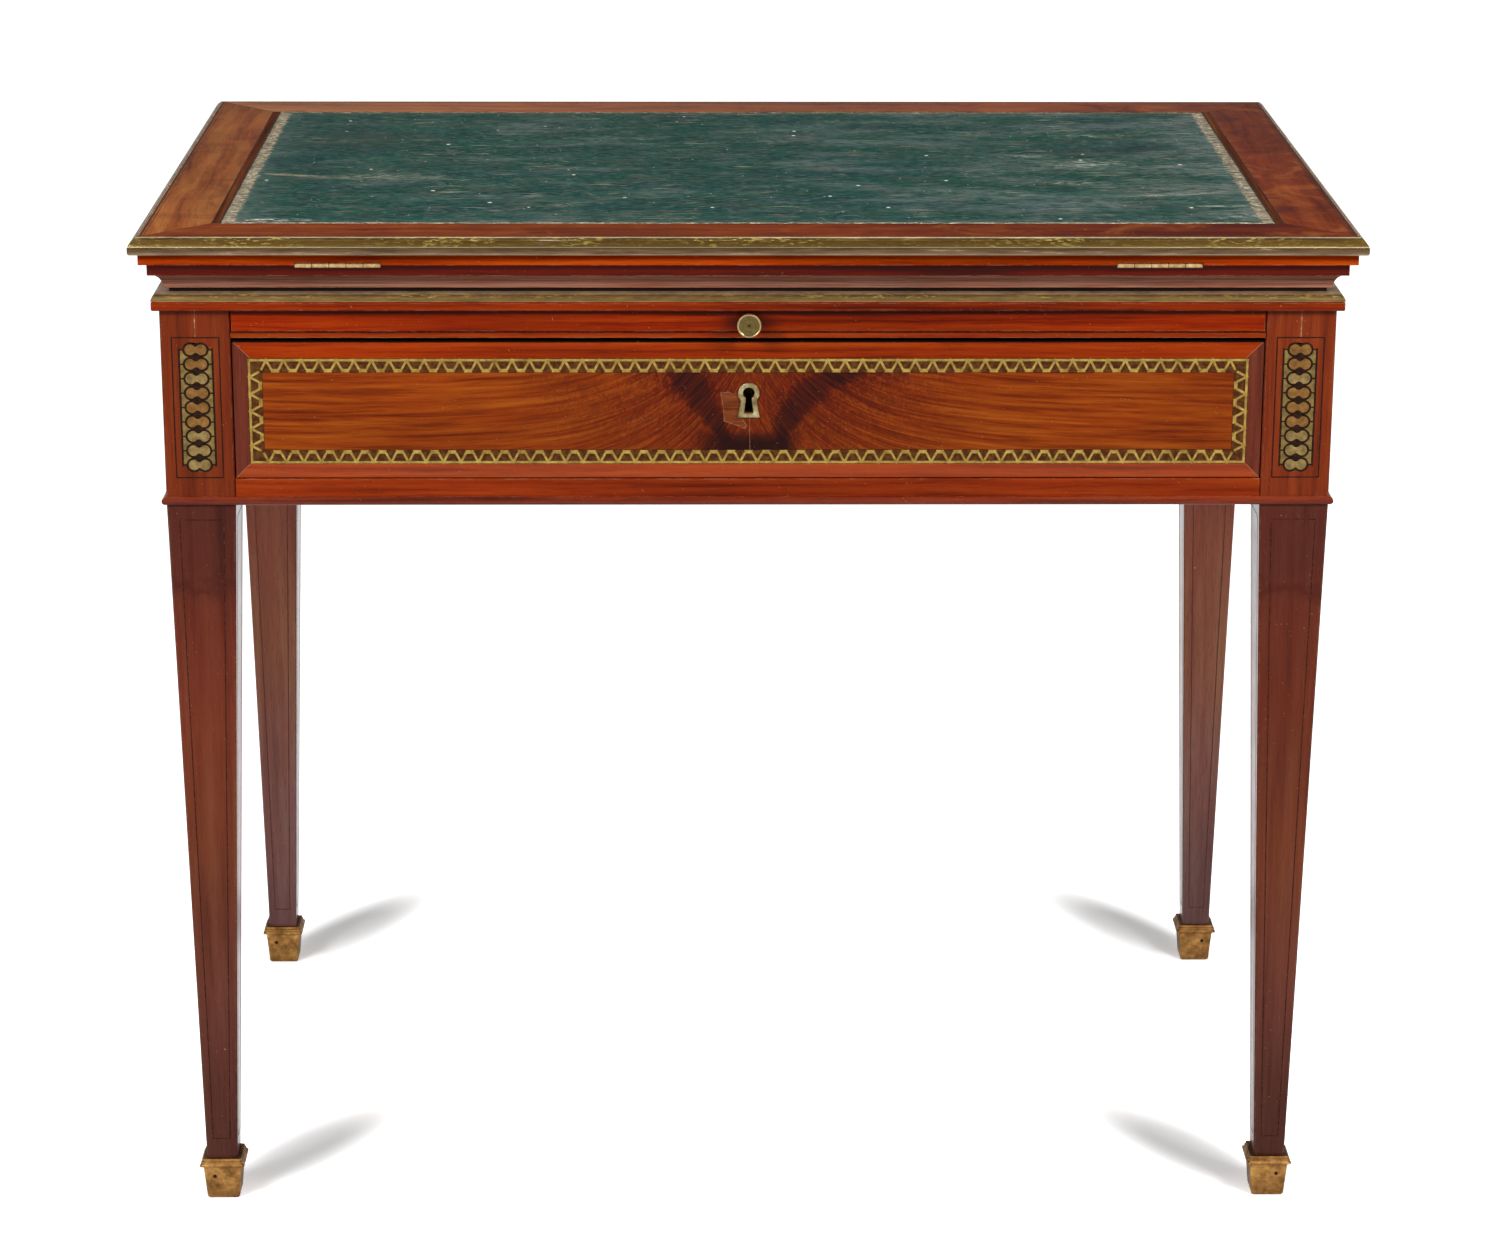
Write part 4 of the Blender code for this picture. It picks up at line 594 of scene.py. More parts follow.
    def border(self, graph: Graph, aside: Socket, z: Socket) -> Socket:
        """Level veneer above and below, darker upright veneer at the ends, their mitres, and a line of
        painted shade along the top edge.

        Args:
            graph: the material's nodes.
            aside: the distance out from the middle.
            z: the height.

        Returns:
            The border's colour.
        """
        level = self.level_wood.grain(graph, graph.place, Axis.X)
        lower = graph.add("Math", z, self.low, operation="LESS_THAN")
        lower = graph.add("Math", lower, self.lower_haze, operation="MULTIPLY")
        level = graph.add("Mix", lower, level, self.haze, **LAY)
        upright = self.upright_wood.grain(graph, graph.place, Axis.Z)
        to_end = graph.add("Math", self.outer_half_width, aside, operation="SUBTRACT")
        over = graph.add("Math", self.outer_high, z, operation="SUBTRACT")
        under = graph.add("Math", z, self.outer_low, operation="SUBTRACT")
        to_edge = graph.add("Math", over, under, operation="MINIMUM")
        colour = graph.mitred((to_end, to_edge), (level, upright), self.mitre)
        # painted shade along the top edge, for the dark gap above the drawer
        rubbed = graph.add("Math", z, self.outer_high - self.top_gap_shade_height, operation="GREATER_THAN")
        return graph.add("Mix", rubbed, colour, self.top_gap_shade, **LAY)

    def shade(self, graph: Graph) -> None:
        """Set the figured panel inside its border.

        Args:
            graph: the material's nodes.
        """
        x, y, z = graph.add("SeparateXYZ", graph.place).node.outputs
        aside = graph.add("Math", x, operation="ABSOLUTE")
        beside = graph.add("Math", aside, self.half_width, operation="LESS_THAN")
        above = graph.add("Math", z, self.low, operation="GREATER_THAN")
        below = graph.add("Math", z, self.high, operation="LESS_THAN")
        between = graph.add("Math", above, below, operation="MULTIPLY")
        inside = graph.add("Math", beside, between, operation="MULTIPLY")
        panel = self.panel(graph, aside, (x, y, z))
        self.polish(graph, graph.add("Mix", inside, self.border(graph, aside, z), panel, **LAY))


@dataclass(frozen=True)
class TarnishedBrass(Finish):
    """Cast or drawn brass, tarnished brown-green, with brighter rubbed places."""

    tarnish: str = "6B5A2C"
    metal: str = "B49A55"
    bright: str = "E2CB8A"
    rubbed_mm: float = 9.0
    drawn_mm: float = 0.0
    balance: float = 0.5
    roughness: float = 0.36
    dents: float = 0.3
    # below one where wax and dirt cover part of the metal
    bare: float = 1.0
    eased_mm: float = 0.5
    # casting grit is 0.2 mm, too fine to show, and is drawn coarser
    grit_mm: float = 1.6
    grit_depth: float = 0.0003

    def patina(self, graph: Graph, patches: Socket) -> Socket:
        """The metal's colour, from tarnish to rubbed brass.

        Args:
            graph: the material's nodes.
            patches: where the tarnish lies.

        Returns:
            The colour.
        """
        tones = ((-0.16, self.tarnish), (0.04, self.metal), (0.22, self.bright))
        return graph.add("ValToRGB", patches, stops=[(self.balance + step, tone) for step, tone in tones])

    def shade(self, graph: Graph) -> None:
        """Patches of tarnish, small bright rubs, and a sheen that follows them.

        Args:
            graph: the material's nodes.
        """
        across = 1 / (self.rubbed_mm * MM)
        along = 1 / ((self.drawn_mm or self.rubbed_mm) * MM)
        mapped = graph.add("Mapping", graph.place, None, None, (along, along, across))
        patches = graph.add("TexNoise", mapped, 1.0, 6.0, 0.7)
        sheen = graph.add("MapRange", patches, 0.3, 0.7, self.roughness + 0.14, self.roughness - 0.08)
        grit = graph.add("TexNoise", graph.place, 1 / (self.grit_mm * MM), 3.0)
        eased = graph.add("Bevel", self.eased_mm * MM, samples=4)
        bump = graph.add("Bump", self.dents, self.grit_depth, Height=grit, Normal=eased)
        graph.wire({
            "Base Color": self.patina(graph, patches), "Roughness": sheen, "Normal": bump,
            "Metallic": self.bare, "Specular IOR Level": 0.2,
        })


@dataclass(frozen=True)
class MouldedBrass(TarnishedBrass):
    """Drawn brass moulding: each facet has its own tone, lit and shaded as painted light, with a painted
    highlight along its ridge.
    """

    low: float = 0.0
    high: float = 1.0
    # painted glints, flecking the upper faces
    fleck: str = "C6B45E"
    # the length and width of one fleck and of one cluster of them
    fleck_mm: Point = (6.0, 1.5)
    cluster_mm: Point = (90.0, 60.0)
    glint_foot: float = 0.52
    # each facet's tone with painted light and shade: pale painted highlights at the foot, along the ridge
    # and at the top
    facet_light_and_shade: Stops = (
        (0.0, "B49C80"), (0.12, "806A50"), (0.40, "6A5238"), (0.47, "6E563C"), (0.495, "E8DAB4"),
        (0.525, "8E7038"), (0.80, "7C5E2E"), (0.93, "523E20"), (0.95, "523E20"), (0.97, "CDB48E"),
    )

    def patina(self, graph: Graph, patches: Socket) -> Socket:
        """The painted light and shade of each facet, broken up by the rubbed places, with painted glints
        on the upper ones.

        Args:
            graph: the material's nodes.
            patches: where the tarnish lies.

        Returns:
            The colour.
        """
        height = graph.add("SeparateXYZ", graph.place).node.outputs[2]
        share = graph.add("MapRange", height, self.low, self.high)
        tone = graph.add("ValToRGB", share, stops=self.facet_light_and_shade)
        cloud = graph.add("ValToRGB", patches, stops=((0.34, 0.45), (0.50, 0.82), (0.66, 1.1)))
        tone = graph.add("Mix", 1.0, tone, cloud, **STAIN)
        rubs = graph.add("ValToRGB", patches, stops=((0.61, 0.0), (0.69, 0.35)))
        tone = graph.add("Mix", rubs, tone, self.bright, **LAY)
        # painted glints, only on the upper faces
        flecks = graph.streaks(graph.place, Axis.X, *self.fleck_mm, 2.0)
        flecks = graph.add("ValToRGB", flecks, stops=((0.54, 0.0), (0.64, 0.8)))
        clusters = graph.streaks(graph.place, Axis.X, *self.cluster_mm, 3.0)
        clusters = graph.add("ValToRGB", clusters, stops=((0.42, 0.1), (0.58, 1.0)))
        lit = graph.add("Math", flecks, clusters, operation="MULTIPLY")
        upper = graph.add("Math", share, self.glint_foot, operation="GREATER_THAN")
        lit = graph.add("Math", lit, upper, operation="MULTIPLY")
        return graph.add("Mix", lit, tone, self.fleck, **LAY)


@dataclass(frozen=True)
class TurnedBrass(TarnishedBrass):
    """Brass turned on a lathe: a rim with a painted highlight, a darker face and the mark of the centre.
    """

    centre_x: float = 0.0
    centre_z: float = 0.0
    radius: float = 0.01
    # rings out from the axis: the dark centre mark, the face, and a painted highlight on the rim
    rings_and_rim_highlight: Stops = (
        (0.0, "42281C"), (0.09, "4E3624"), (0.14, "6C5A34"), (0.46, "74633A"), (0.49, "58482A"),
        (0.53, "6E5E36"), (0.82, "6E5F38"), (0.88, "C4AC80"), (1.0, "94744A"),
    )

    def patina(self, graph: Graph, patches: Socket) -> Socket:
        """Rings round the axis, with a painted highlight on the rim, broken up by the rubbed places.

        Args:
            graph: the material's nodes.
            patches: where the tarnish lies.

        Returns:
            The colour.
        """
        flat = graph.add("VectorMath", graph.place, (1.0, 0.0, 1.0), operation="MULTIPLY")
        away = graph.add("VectorMath", flat, (self.centre_x, 0.0, self.centre_z), operation="DISTANCE")
        share = graph.add("Math", away, self.radius, operation="DIVIDE")
        tone = graph.add("ValToRGB", share, stops=self.rings_and_rim_highlight)
        cloud = graph.add("ValToRGB", patches, stops=((0.32, 0.72), (0.62, 1.0)))
        return graph.add("Mix", 1.0, tone, cloud, **STAIN)


@dataclass(frozen=True)
class Mastic(Finish):
    """Mastic, glue or dirt between the inlays, scraped level: dull, nearly even."""

    tone: str = "2A160E"
    fleck: str = "4A2A1A"
    fleck_mm: float = 3.0

    def shade(self, graph: Graph) -> None:
        """An even filler with faint flecks.

        Args:
            graph: the material's nodes.
        """
        flecks = graph.add("TexNoise", graph.place, 1 / (self.fleck_mm * MM), 4.0)
        tone = graph.add("ValToRGB", flecks, stops=((0.4, self.tone), (0.7, self.fleck)))
        graph.wire({"Base Color": tone, "Roughness": 0.42, "Specular IOR Level": 0.08})


@dataclass(frozen=True)
class WaxedOak(Finish):
    """Plain oak inside the case, sawn and waxed: pale brown with open grain."""

    axis: Axis = Axis.X
    dark: str = "6E4A2A"
    light: str = "A98355"
    figure_mm: Point = (320.0, 9.0)
    # oak's open pores are 0.3 mm wide, too fine to show, and are drawn coarser
    pore_mm: Point = (9.0, 0.8)
    pore_depth: float = 0.0003

    def shade(self, graph: Graph) -> None:
        """Broad grain with short open pores.

        Args:
            graph: the material's nodes.
        """
        figure = graph.streaks(graph.place, self.axis, *self.figure_mm, 5.0)
        wood = graph.add("ValToRGB", figure, stops=((0.32, self.dark), (0.66, self.light)))
        pores = graph.streaks(graph.place, self.axis, *self.pore_mm, 2.0, 0.5)
        marks = graph.add("ValToRGB", pores, stops=((0.5, 1.0), (0.66, 0.35)))
        graph.wire({
            "Base Color": graph.add("Mix", 0.6, wood, marks, **STAIN), "Roughness": 0.6,
            "Normal": graph.add("Bump", 0.4, self.pore_depth, Height=marks), "Specular IOR Level": 0.2,
        })


@dataclass(frozen=True)
class FiledSteel(Finish):
    """Hand-filed iron and steel, oiled: dark grey with fine file marks."""

    # real file marks are 0.2 mm apart, too fine to show, and are drawn coarser
    mark_mm: Point = (8.0, 0.5)
    mark_depth: float = 0.0002
    stain_mm: float = 17.0

    def shade(self, graph: Graph) -> None:
        """File marks and brown oil stains.

        Args:
            graph: the material's nodes.
        """
        marks = graph.streaks(graph.place, Axis.X, *self.mark_mm, 2.0)
        stains = graph.add("TexNoise", graph.place, 1 / (self.stain_mm * MM), 5.0)
        graph.wire({
            "Base Color": graph.add("ValToRGB", stains, stops=((0.35, "4A4038"), (0.62, "8B8782"))),
            "Normal": graph.add("Bump", 0.3, self.mark_depth, Height=marks), "Metallic": 1.0,
            "Roughness": 0.42,
        })


@dataclass(frozen=True)
class WornSpot:
    """One worn place of the leather: where it lies, how far it reaches, its tone and strength."""

    x: float
    y: float
    reach_mm: Point
    turn: float
    tone: str
    strength: float
    chipped: bool = False


@dataclass(frozen=True)
class TooledLeather(Finish):
    """Skiver leather, dyed green and waxed, with a worn gilt border along its edges."""

    half_x: float = 0.4
    half_y: float = 0.24
    dye: str = "0B4438"
    grey: str = "75807C"
    scuff: str = "B8B49C"
    gilt: str = "EAD8B8"
    gilt_ground: str = "806A50"
    gilt_band: float = 0.0098
    # the gilding is narrower along the long sides
    side_narrowing: float = 2.3
    rest_mm: Point = (110.0, 40.0)
    # the fibres and the pebble of the skin are finer than this, and are drawn as they show
    fibre_mm: Point = (11.0, 3.2)
    chip_mm: Point = (9.0, 2.4)
    crumble_mm: Point = (10.0, 3.2)
    crumble_reach: float = 0.02
    wear_mm: Point = (8.0, 3.4)
    scuffed_mm: Point = (90.0, 60.0)
    tooling_mm: float = 3.4
    pebble_mm: float = 1.3
    depth: float = 0.0002
    # each layer: streak length and width in mm, where it starts and is full, strength, tone
    layers: tuple[tuple[float, float, float, float, float, str], ...] = (
        (130.0, 46.0, 0.50, 0.66, 0.6, "143C44"),
        (160.0, 40.0, 0.52, 0.68, 0.5, "285C4C"),
        (60.0, 30.0, 0.50, 0.36, 0.6, "0E2F2C"),
        (13.0, 3.4, 0.50, 0.38, 0.75, "081E20"),
        (10.0, 3.0, 0.52, 0.64, 0.6, "5C7870"),
        (24.0, 8.0, 0.53, 0.66, 0.6, "57544C"),
    )
    spots: tuple[WornSpot, ...] = (
        WornSpot(-0.364, -0.047, (46, 6), -0.25, "B0A88C", 1.0),
        WornSpot(-0.325, -0.058, (60, 11), 0.0, "7E7C6C", 0.7),
        WornSpot(0.355, -0.008, (66, 7), 0.09, "8A8E86", 0.7),
        WornSpot(0.342, -0.124, (76, 11), 0.2, "96978F", 0.85),
        WornSpot(0.319, -0.108, (80, 22), 0.1, "74786F", 0.5),
        WornSpot(0.333, 0.077, (44, 40), 0.0, "12242C", 0.8),
        WornSpot(-0.363, 0.021, (50, 36), 0.0, "12303E", 0.7),
        WornSpot(-0.330, 0.110, (90, 70), 0.0, "4A4A42", 0.5),
        WornSpot(0.276, 0.000, (62, 30), 0.2, "C4C6B6", 0.9, True),
        WornSpot(-0.145, -0.169, (26, 12), 0.0, "A09A7E", 0.8, True),
        WornSpot(-0.232, -0.117, (24, 6), 0.0, "A09C86", 0.7),
        WornSpot(0.293, 0.127, (44, 14), 0.0, "B4B8AA", 0.85, True),
        WornSpot(0.259, -0.079, (40, 13), 0.0, "B4B8AA", 0.85, True),
        WornSpot(0.371, -0.172, (44, 5), 0.05, "C0C0B0", 0.9),
        WornSpot(-0.372, -0.227, (60, 11), 0.0, "ECE8DA", 1.0, True),
        WornSpot(0.230, 0.036, (34, 16), 0.0, "A8AA9C", 0.8, True),
        WornSpot(-0.290, -0.055, (60, 26), 0.0, "A8A690", 0.8, True),
        WornSpot(0.380, -0.212, (40, 20), 0.0, "CBC8B8", 0.9, True),
    )
    # each set of scratches: its turn, their length and width in mm, and how few there are
    scratches: tuple[tuple[float, float, float, float], ...] = (
        (0.0, 30.0, 1.8, 0.65), (0.9, 16.0, 1.2, 0.68), (-0.6, 20.0, 1.2, 0.68),
    )
    specks: tuple[Flecks, ...] = (
        Flecks(12.0, 0.05, 0.08, 0.9, 0.52, "CFCDBC"), Flecks(22.0, 0.06, 0.09, 0.9, 0.64, "F0EEE2"),
    )

    def dyed(self, graph: Graph, x: Socket, edge: Socket) -> Socket:
        """The dye: cloudy along the skin, mottled in its grain, greyed where hands rested.

        Args:
            graph: the material's nodes.
            x: the place along the table.
            edge: the distance to the leather's edge.

        Returns:
            The colour.
        """
        colour = srgb(self.dye)
        for length, width, clear, full, strength, tone in self.layers:
            patches = graph.streaks(graph.place, Axis.X, length, width, 5.0, 0.66)
            mask = graph.add("MapRange", patches, clear, full, 0.0, strength)
            colour = graph.add("Mix", mask, colour, tone, **LAY)

        rest = graph.streaks(graph.place, Axis.X, *self.rest_mm, 4.0, 0.66)
        side = graph.add("MapRange", x, -self.half_x, self.half_x, -0.06, 0.09)
        rest = graph.add("Math", rest, side, operation="ADD")
        rest = graph.add("ValToRGB", rest, stops=((0.50, 0.0), (0.68, 0.9)))
        rim = graph.add("MapRange", edge, 0.008, 0.04, 0.5, 0.0)
        greyed = graph.add("Math", rest, rim, operation="ADD", use_clamp=True)
        fibres = graph.streaks(graph.place, Axis.X, *self.fibre_mm, 4.0, 0.7)
        grit = graph.add("ValToRGB", fibres, stops=((0.42, 0.08), (0.58, 1.0)))
        mask = graph.add("Math", greyed, grit, operation="MULTIPLY")
        mask = graph.add("Math", mask, 0.7, operation="MULTIPLY")
        colour = graph.add("Mix", mask, colour, self.grey, **LAY)
        chips = graph.streaks(graph.place, Axis.X, *self.chip_mm, 4.0, 0.7)
        chips = graph.add("ValToRGB", chips, stops=((0.50, 0.0), (0.64, 1.0)))
        for spot in self.spots:
            reach = (spot.reach_mm[0] * MM, spot.reach_mm[1] * MM, 100.0)
            mask = graph.oval((spot.x, spot.y, 0.0), reach, spot.turn, 0.1, spot.strength)
            mask = graph.add("Math", mask, chips if spot.chipped else grit, operation="MULTIPLY")
            colour = graph.add("Mix", mask, colour, spot.tone, **LAY)
        return colour

    def worn(self, graph: Graph, colour: Socket) -> Socket:
        """Scratches in three directions, and pale specks where the skin is chipped.

        Args:
            graph: the material's nodes.
            colour: the dyed skin's colour.

        Returns:
            The colour.
        """
        for turn, length, width, limit in self.scratches:
            turned = graph.add("Mapping", graph.place, None, (0.0, 0.0, turn))
            marks = graph.streaks(turned, Axis.X, length, width, 2.0, 0.5)
            marks = graph.add("ValToRGB", marks, stops=((limit, 0.0), (limit + 0.06, 0.75)))
            where = graph.streaks(turned, Axis.Y, *self.scuffed_mm, 2.0, 0.5)
            where = graph.add("ValToRGB", where, stops=((0.46, 0.0), (0.6, 1.0)))
            mask = graph.add("Math", marks, where, operation="MULTIPLY")
            colour = graph.add("Mix", mask, colour, self.scuff, **LAY)
        for specks in self.specks:
            colour = specks.over(graph, colour)
        return colour

    def shade(self, graph: Graph) -> None:
        """Dyed and worn leather inside a band of rubbed gilding.

        Args:
            graph: the material's nodes.
        """
        to_end, to_side, (x, _, _) = graph.inward(self.half_x, self.half_y)
        to_side = graph.add("Math", to_side, self.side_narrowing, operation="MULTIPLY")
        edge = graph.add("Math", to_end, to_side, operation="MINIMUM")
        colour = self.worn(graph, self.dyed(graph, x, edge))

        crumble = graph.streaks(graph.place, Axis.X, *self.crumble_mm, 5.0, 0.72)
        ragged = graph.add("Math", crumble, 0.5, operation="SUBTRACT")
        ragged = graph.add("Math", ragged, self.crumble_reach, operation="MULTIPLY")
        band = graph.add("Math", edge, ragged, operation="ADD")
        band = graph.add("Math", band, self.gilt_band, operation="LESS_THAN")
        wear = graph.streaks(graph.place, Axis.X, *self.wear_mm, 5.0, 0.7)
        left = graph.add("ValToRGB", wear, stops=((0.46, 0.0), (0.54, 1.0)))
        left = graph.add("Math", band, left, operation="MULTIPLY")
        tooling = graph.add("TexVoronoi", graph.place, 1 / (self.tooling_mm * MM), Randomness=0.8)
        leaf = graph.add(
            "ValToRGB", tooling.node.outputs["Distance"], stops=((0.28, 1.0), (0.55, 0.0)),
        )
        leaf = graph.add("Math", leaf, 0.6, operation="MULTIPLY")
        leaf = graph.add("Math", leaf, 0.4, operation="ADD")
        gilding = graph.add("Math", left, leaf, operation="MULTIPLY")
        stained = graph.add("ValToRGB", crumble, stops=((0.43, 0.1), (0.52, 0.9)))
        stained = graph.add("Math", band, stained, operation="MULTIPLY")
        colour = graph.add("Mix", stained, colour, self.gilt_ground, **LAY)

        pebble = graph.add("TexVoronoi", graph.place, 1 / (self.pebble_mm * MM))
        grain = graph.add("Bump", 0.25, self.depth, Height=pebble.node.outputs["Distance"])
        graph.wire({
            "Base Color": graph.add("Mix", gilding, colour, self.gilt, **LAY),
            "Metallic": graph.add("Math", gilding, 0.4, operation="MULTIPLY"),
            "Roughness": graph.add("MapRange", wear, 0.3, 0.7, 0.42, 0.62), "Specular IOR Level": 0.04,
            "Normal": graph.add("Bump", 0.4, self.depth, Height=gilding, Normal=grain, invert=True),
        })


@dataclass(frozen=True)
class PaperFloor(Finish):
    """Seamless white paper: matt, and white to the camera but for the shadows round the feet."""

    paper: str = "FFFFFF"
    bounced: str = "A8A8A8"
    lift: float = 0.19
    shadow_x: float = 0.371
    shadow_y: float = -0.183
    rear_step: float = 0.503
    slant: float = 0.61
    shadow_length: float = 0.175
    shadow_width: float = 0.055

    def shade(self, graph: Graph) -> None:
        """Matt paper with an added white that only camera and mirror rays see.

        Args:
            graph: the material's nodes.
        """
        rays = graph.add("LightPath").node.outputs
        camera = rays["Is Camera Ray"]
        seen = graph.add("Math", camera, rays["Is Glossy Ray"], operation="ADD")
        seen = graph.add("Math", seen, rays["Is Transmission Ray"], operation="ADD", use_clamp=True)
        x, y, _ = graph.add("SeparateXYZ", graph.place).node.outputs
        aside = graph.add("Math", x, operation="ABSOLUTE")
        outward = graph.add("Math", aside, self.shadow_x, operation="SUBTRACT")
        # the rear feet's shadows repeat the front feet's
        rear = graph.add("Math", y, self.shadow_y + self.rear_step / 2, operation="GREATER_THAN")
        rear = graph.add("Math", rear, -self.rear_step, -self.shadow_y, operation="MULTIPLY_ADD")
        back = graph.add("Math", y, rear, operation="ADD")
        slant = Vector((-math.sin(self.slant), math.cos(self.slant)))
        parts = []
        for out_share, back_share in (
            (slant.x / self.shadow_length, slant.y / self.shadow_length),
            (slant.y / self.shadow_width, -slant.x / self.shadow_width),
        ):
            part = graph.add("Math", outward, out_share, operation="MULTIPLY")
            parts.append(graph.add("Math", back, back_share, part, operation="MULTIPLY_ADD"))
        away = graph.add("VectorMath", graph.add("CombineXYZ", *parts), operation="LENGTH")
        lift = graph.add("MapRange", away, 0.25, 1.0, self.lift, 1.0, interpolation_type="SMOOTHSTEP")
        graph.wire({
            "Base Color": graph.add("Mix", camera, self.bounced, self.paper, **LAY),
            "Roughness": 0.95, "Specular IOR Level": 0.0,
            "Emission Strength": graph.add("Math", seen, lift, operation="MULTIPLY"),
            "Emission Color": "FFFFFF",
        })


@dataclass(frozen=True)
class FrameVeneer(PolishedMahogany):
    """The rising frame: a fillet above darkened with painted shade, and a hollow below clouded with a
    painted pale reflection.
    """

    step: float = 0.76
    # painted shade on the fillet, and a painted pale reflection clouding the hollow
    fillet: str = "BE6C48"
    wax: str = "C2917A"
    reflection_streak_mm: Point = (90.0, 1.6)

    def shade(self, graph: Graph) -> None:
        """Darken the wood over the step with painted shade, and cloud the hollow under it with a painted
        pale reflection.

        Args:
            graph: the material's nodes.
        """
        height = graph.add("SeparateXYZ", graph.place).node.outputs[2]
        colour = self.grain(graph, graph.place, Axis.X)
        # painted shade on the fillet
        fillet = graph.add("Mix", 1.0, colour, self.fillet, **STAIN)
        # painted pale reflection in the hollow
        haze = graph.streaks(graph.place, Axis.X, *self.reflection_streak_mm, 3.0)
        haze = graph.add("ValToRGB", haze, stops=((0.36, 0.2), (0.64, 0.78)))
        waxed = graph.add("Mix", haze, colour, self.wax, **LAY)
        over = graph.add("Math", height, self.step, operation="GREATER_THAN")
        self.polish(graph, graph.add("Mix", over, waxed, fillet, **LAY))


@dataclass(frozen=True)
class SlideVeneer(PolishedMahogany):
    """The slide's front: red veneer, with a painted shadow on both sides of the knob and painted shade
    under the case's top.
    """

    knob_x: float = 0.0
    knob_z: float = 0.73
    # painted shadow round the knob, and painted shade under the case's top
    knob_shadow_mm: Point = (30.0, 11.0)
    painted_shade_tone: str = "240A05"
    top: float = 0.75
    shade_height: float = 0.0042

    def shade(self, graph: Graph) -> None:
        """Darken the grain round the knob with a painted shadow, and under the case's top with painted
        shade.

        Args:
            graph: the material's nodes.
        """
        reach = (self.knob_shadow_mm[0] * MM, 100.0, self.knob_shadow_mm[1] * MM)
        # painted shadow round the knob
        knob_shadow = graph.oval((self.knob_x, 0.0, self.knob_z), reach, 0.0, 0.3, 0.75)
        height = graph.add("SeparateXYZ", graph.place).node.outputs[2]
        # painted shade under the case's top
        foot = self.top - self.shade_height
        under = graph.add("MapRange", height, foot, self.top - self.shade_height / 3, 0.0, 0.7)
        mask = graph.add("Math", knob_shadow, under, operation="MAXIMUM")
        wood = self.grain(graph, graph.place, self.axis)
        self.polish(graph, graph.add("Mix", mask, wood, self.painted_shade_tone, **LAY))


@dataclass(frozen=True)
class BorderVeneer(PolishedMahogany):
    """The board's border: four veneers, mitred, with the grain along each side."""

    half_x: float = 0.45
    half_y: float = 0.29
    face: float = 0.79
    edging: PolishedMahogany = PolishedMahogany(
        "edging_grain", "701A04", "C24008", "DA5A12", mottle=0.4, streak_mm=5.0,
    )
    # painted light: the front strip darkened as painted shade, the rear strip paled with a painted sheen
    front_shade_tone: str = "DEBA98"
    rear_sheen_tone: str = "E4B494"
    rear_sheen_share: float = 0.14
    mitre: tuple[float, float, str] = (0.0005, 0.6, "2E120A")
    cloud: str = "4A1A14"
    cloud_mm: float = 48.0
    spot: str = "B8682E"
    red: str = "C08068"
    right_shade: float = 0.9

    def shade(self, graph: Graph) -> None:
        """Pick the grain's direction by the nearer edge, and draw the mitre joints.

        Args:
            graph: the material's nodes.
        """
        to_end, to_side, (x, y, z) = graph.inward(self.half_x, self.half_y)
        # painted shade darkens the front strip and a painted sheen pales the rear
        in_front = graph.add("Math", y, 0.0, operation="LESS_THAN")
        grain = self.grain(graph, graph.place, Axis.X)
        rear = graph.add("Mix", self.rear_sheen_share, grain, self.rear_sheen_tone, **LAY)
        front = graph.add("Mix", 1.0, grain, self.front_shade_tone, **STAIN)
        level = graph.add("Mix", in_front, rear, front, **LAY)
        cross = self.grain(graph, graph.place, Axis.Y)
        colour = graph.mitred((to_end, to_side), (level, cross), self.mitre)
        right = graph.add("MapRange", x, -self.half_x, self.half_x, 0.0, self.right_shade)
        colour = graph.add("Mix", right, colour, self.red, **STAIN)
        clouds = graph.add(
            "TexNoise", graph.place, 1 / (self.cloud_mm * MM), 4.0, 0.62, Distortion=0.8,
        )
        marked = graph.add("MapRange", x, 0.0, self.half_x, 0.5, 1.3)
        for stops, tone in (
            (((0.34, 0.62), (0.48, 0.0)), self.cloud), (((0.54, 0.0), (0.68, 0.3)), self.spot),
        ):
            mask = graph.add("ValToRGB", clouds, stops=stops)
            mask = graph.add("Math", mask, marked, operation="MULTIPLY")
            colour = graph.add("Mix", mask, colour, tone, **LAY)
        below = graph.add("Math", z, self.face, operation="LESS_THAN")
        edging = self.edging.grain(graph, graph.place, Axis.X)
        self.polish(graph, graph.add("Mix", below, colour, edging, **LAY))


# Finishes of the table's parts

# French-polished mahogany of the front legs: duller and browner than the case, darkest at the knee with
# painted shade
LEG_WOOD = PostAndLegVeneer(
    "polished_leg_mahogany", "612A20", "803E2E", "8C4E40", Axis.Z, streak_mm=11.0, mottle=0.2,
    pore_strength=0.22, sway=0.004, reflection=0.08,
)
# the rear legs: greyer and paler, as their polish is bleached and hazy
REAR_LEG_WOOD = PostAndLegVeneer(
    "polished_rear_leg_mahogany", "7E4840", "9A5A50", "A87266", Axis.Z, streak_mm=11.0, mottle=0.2,
    sway=0.004, reflection=0.2,
)
# the rails and the top of the case: a clear orange-red with straight level grain
CASE_WOOD = PolishedMahogany("polished_case_mahogany", "5C1604", "9A320A", "B04814", mottle=0.22)
# the end panels: a little duller, with broader grain from front to back
SIDE_WOOD = PolishedMahogany(
    "polished_side_mahogany", "541B0C", "8A3416", "A44C22", Axis.Y, mottle=0.35, streak_mm=10.0,
)
# the half-round moulding: darker from old polish, with a brighter highlight along it
MOULDING_WOOD = PolishedMahogany(
    "polished_moulding_mahogany", "42140A", "802A10", "9E421C", mottle=0.3, streak_mm=5.0,
    reflection=0.15,
)
# the veneer let in beside the keyhole: duller, with short fine grain
REPAIR_WOOD = PolishedMahogany(
    "polished_repair_mahogany", "5C2410", "8A4220", "A25A30", streak_mm=2.5, streak_length_mm=30.0,
)
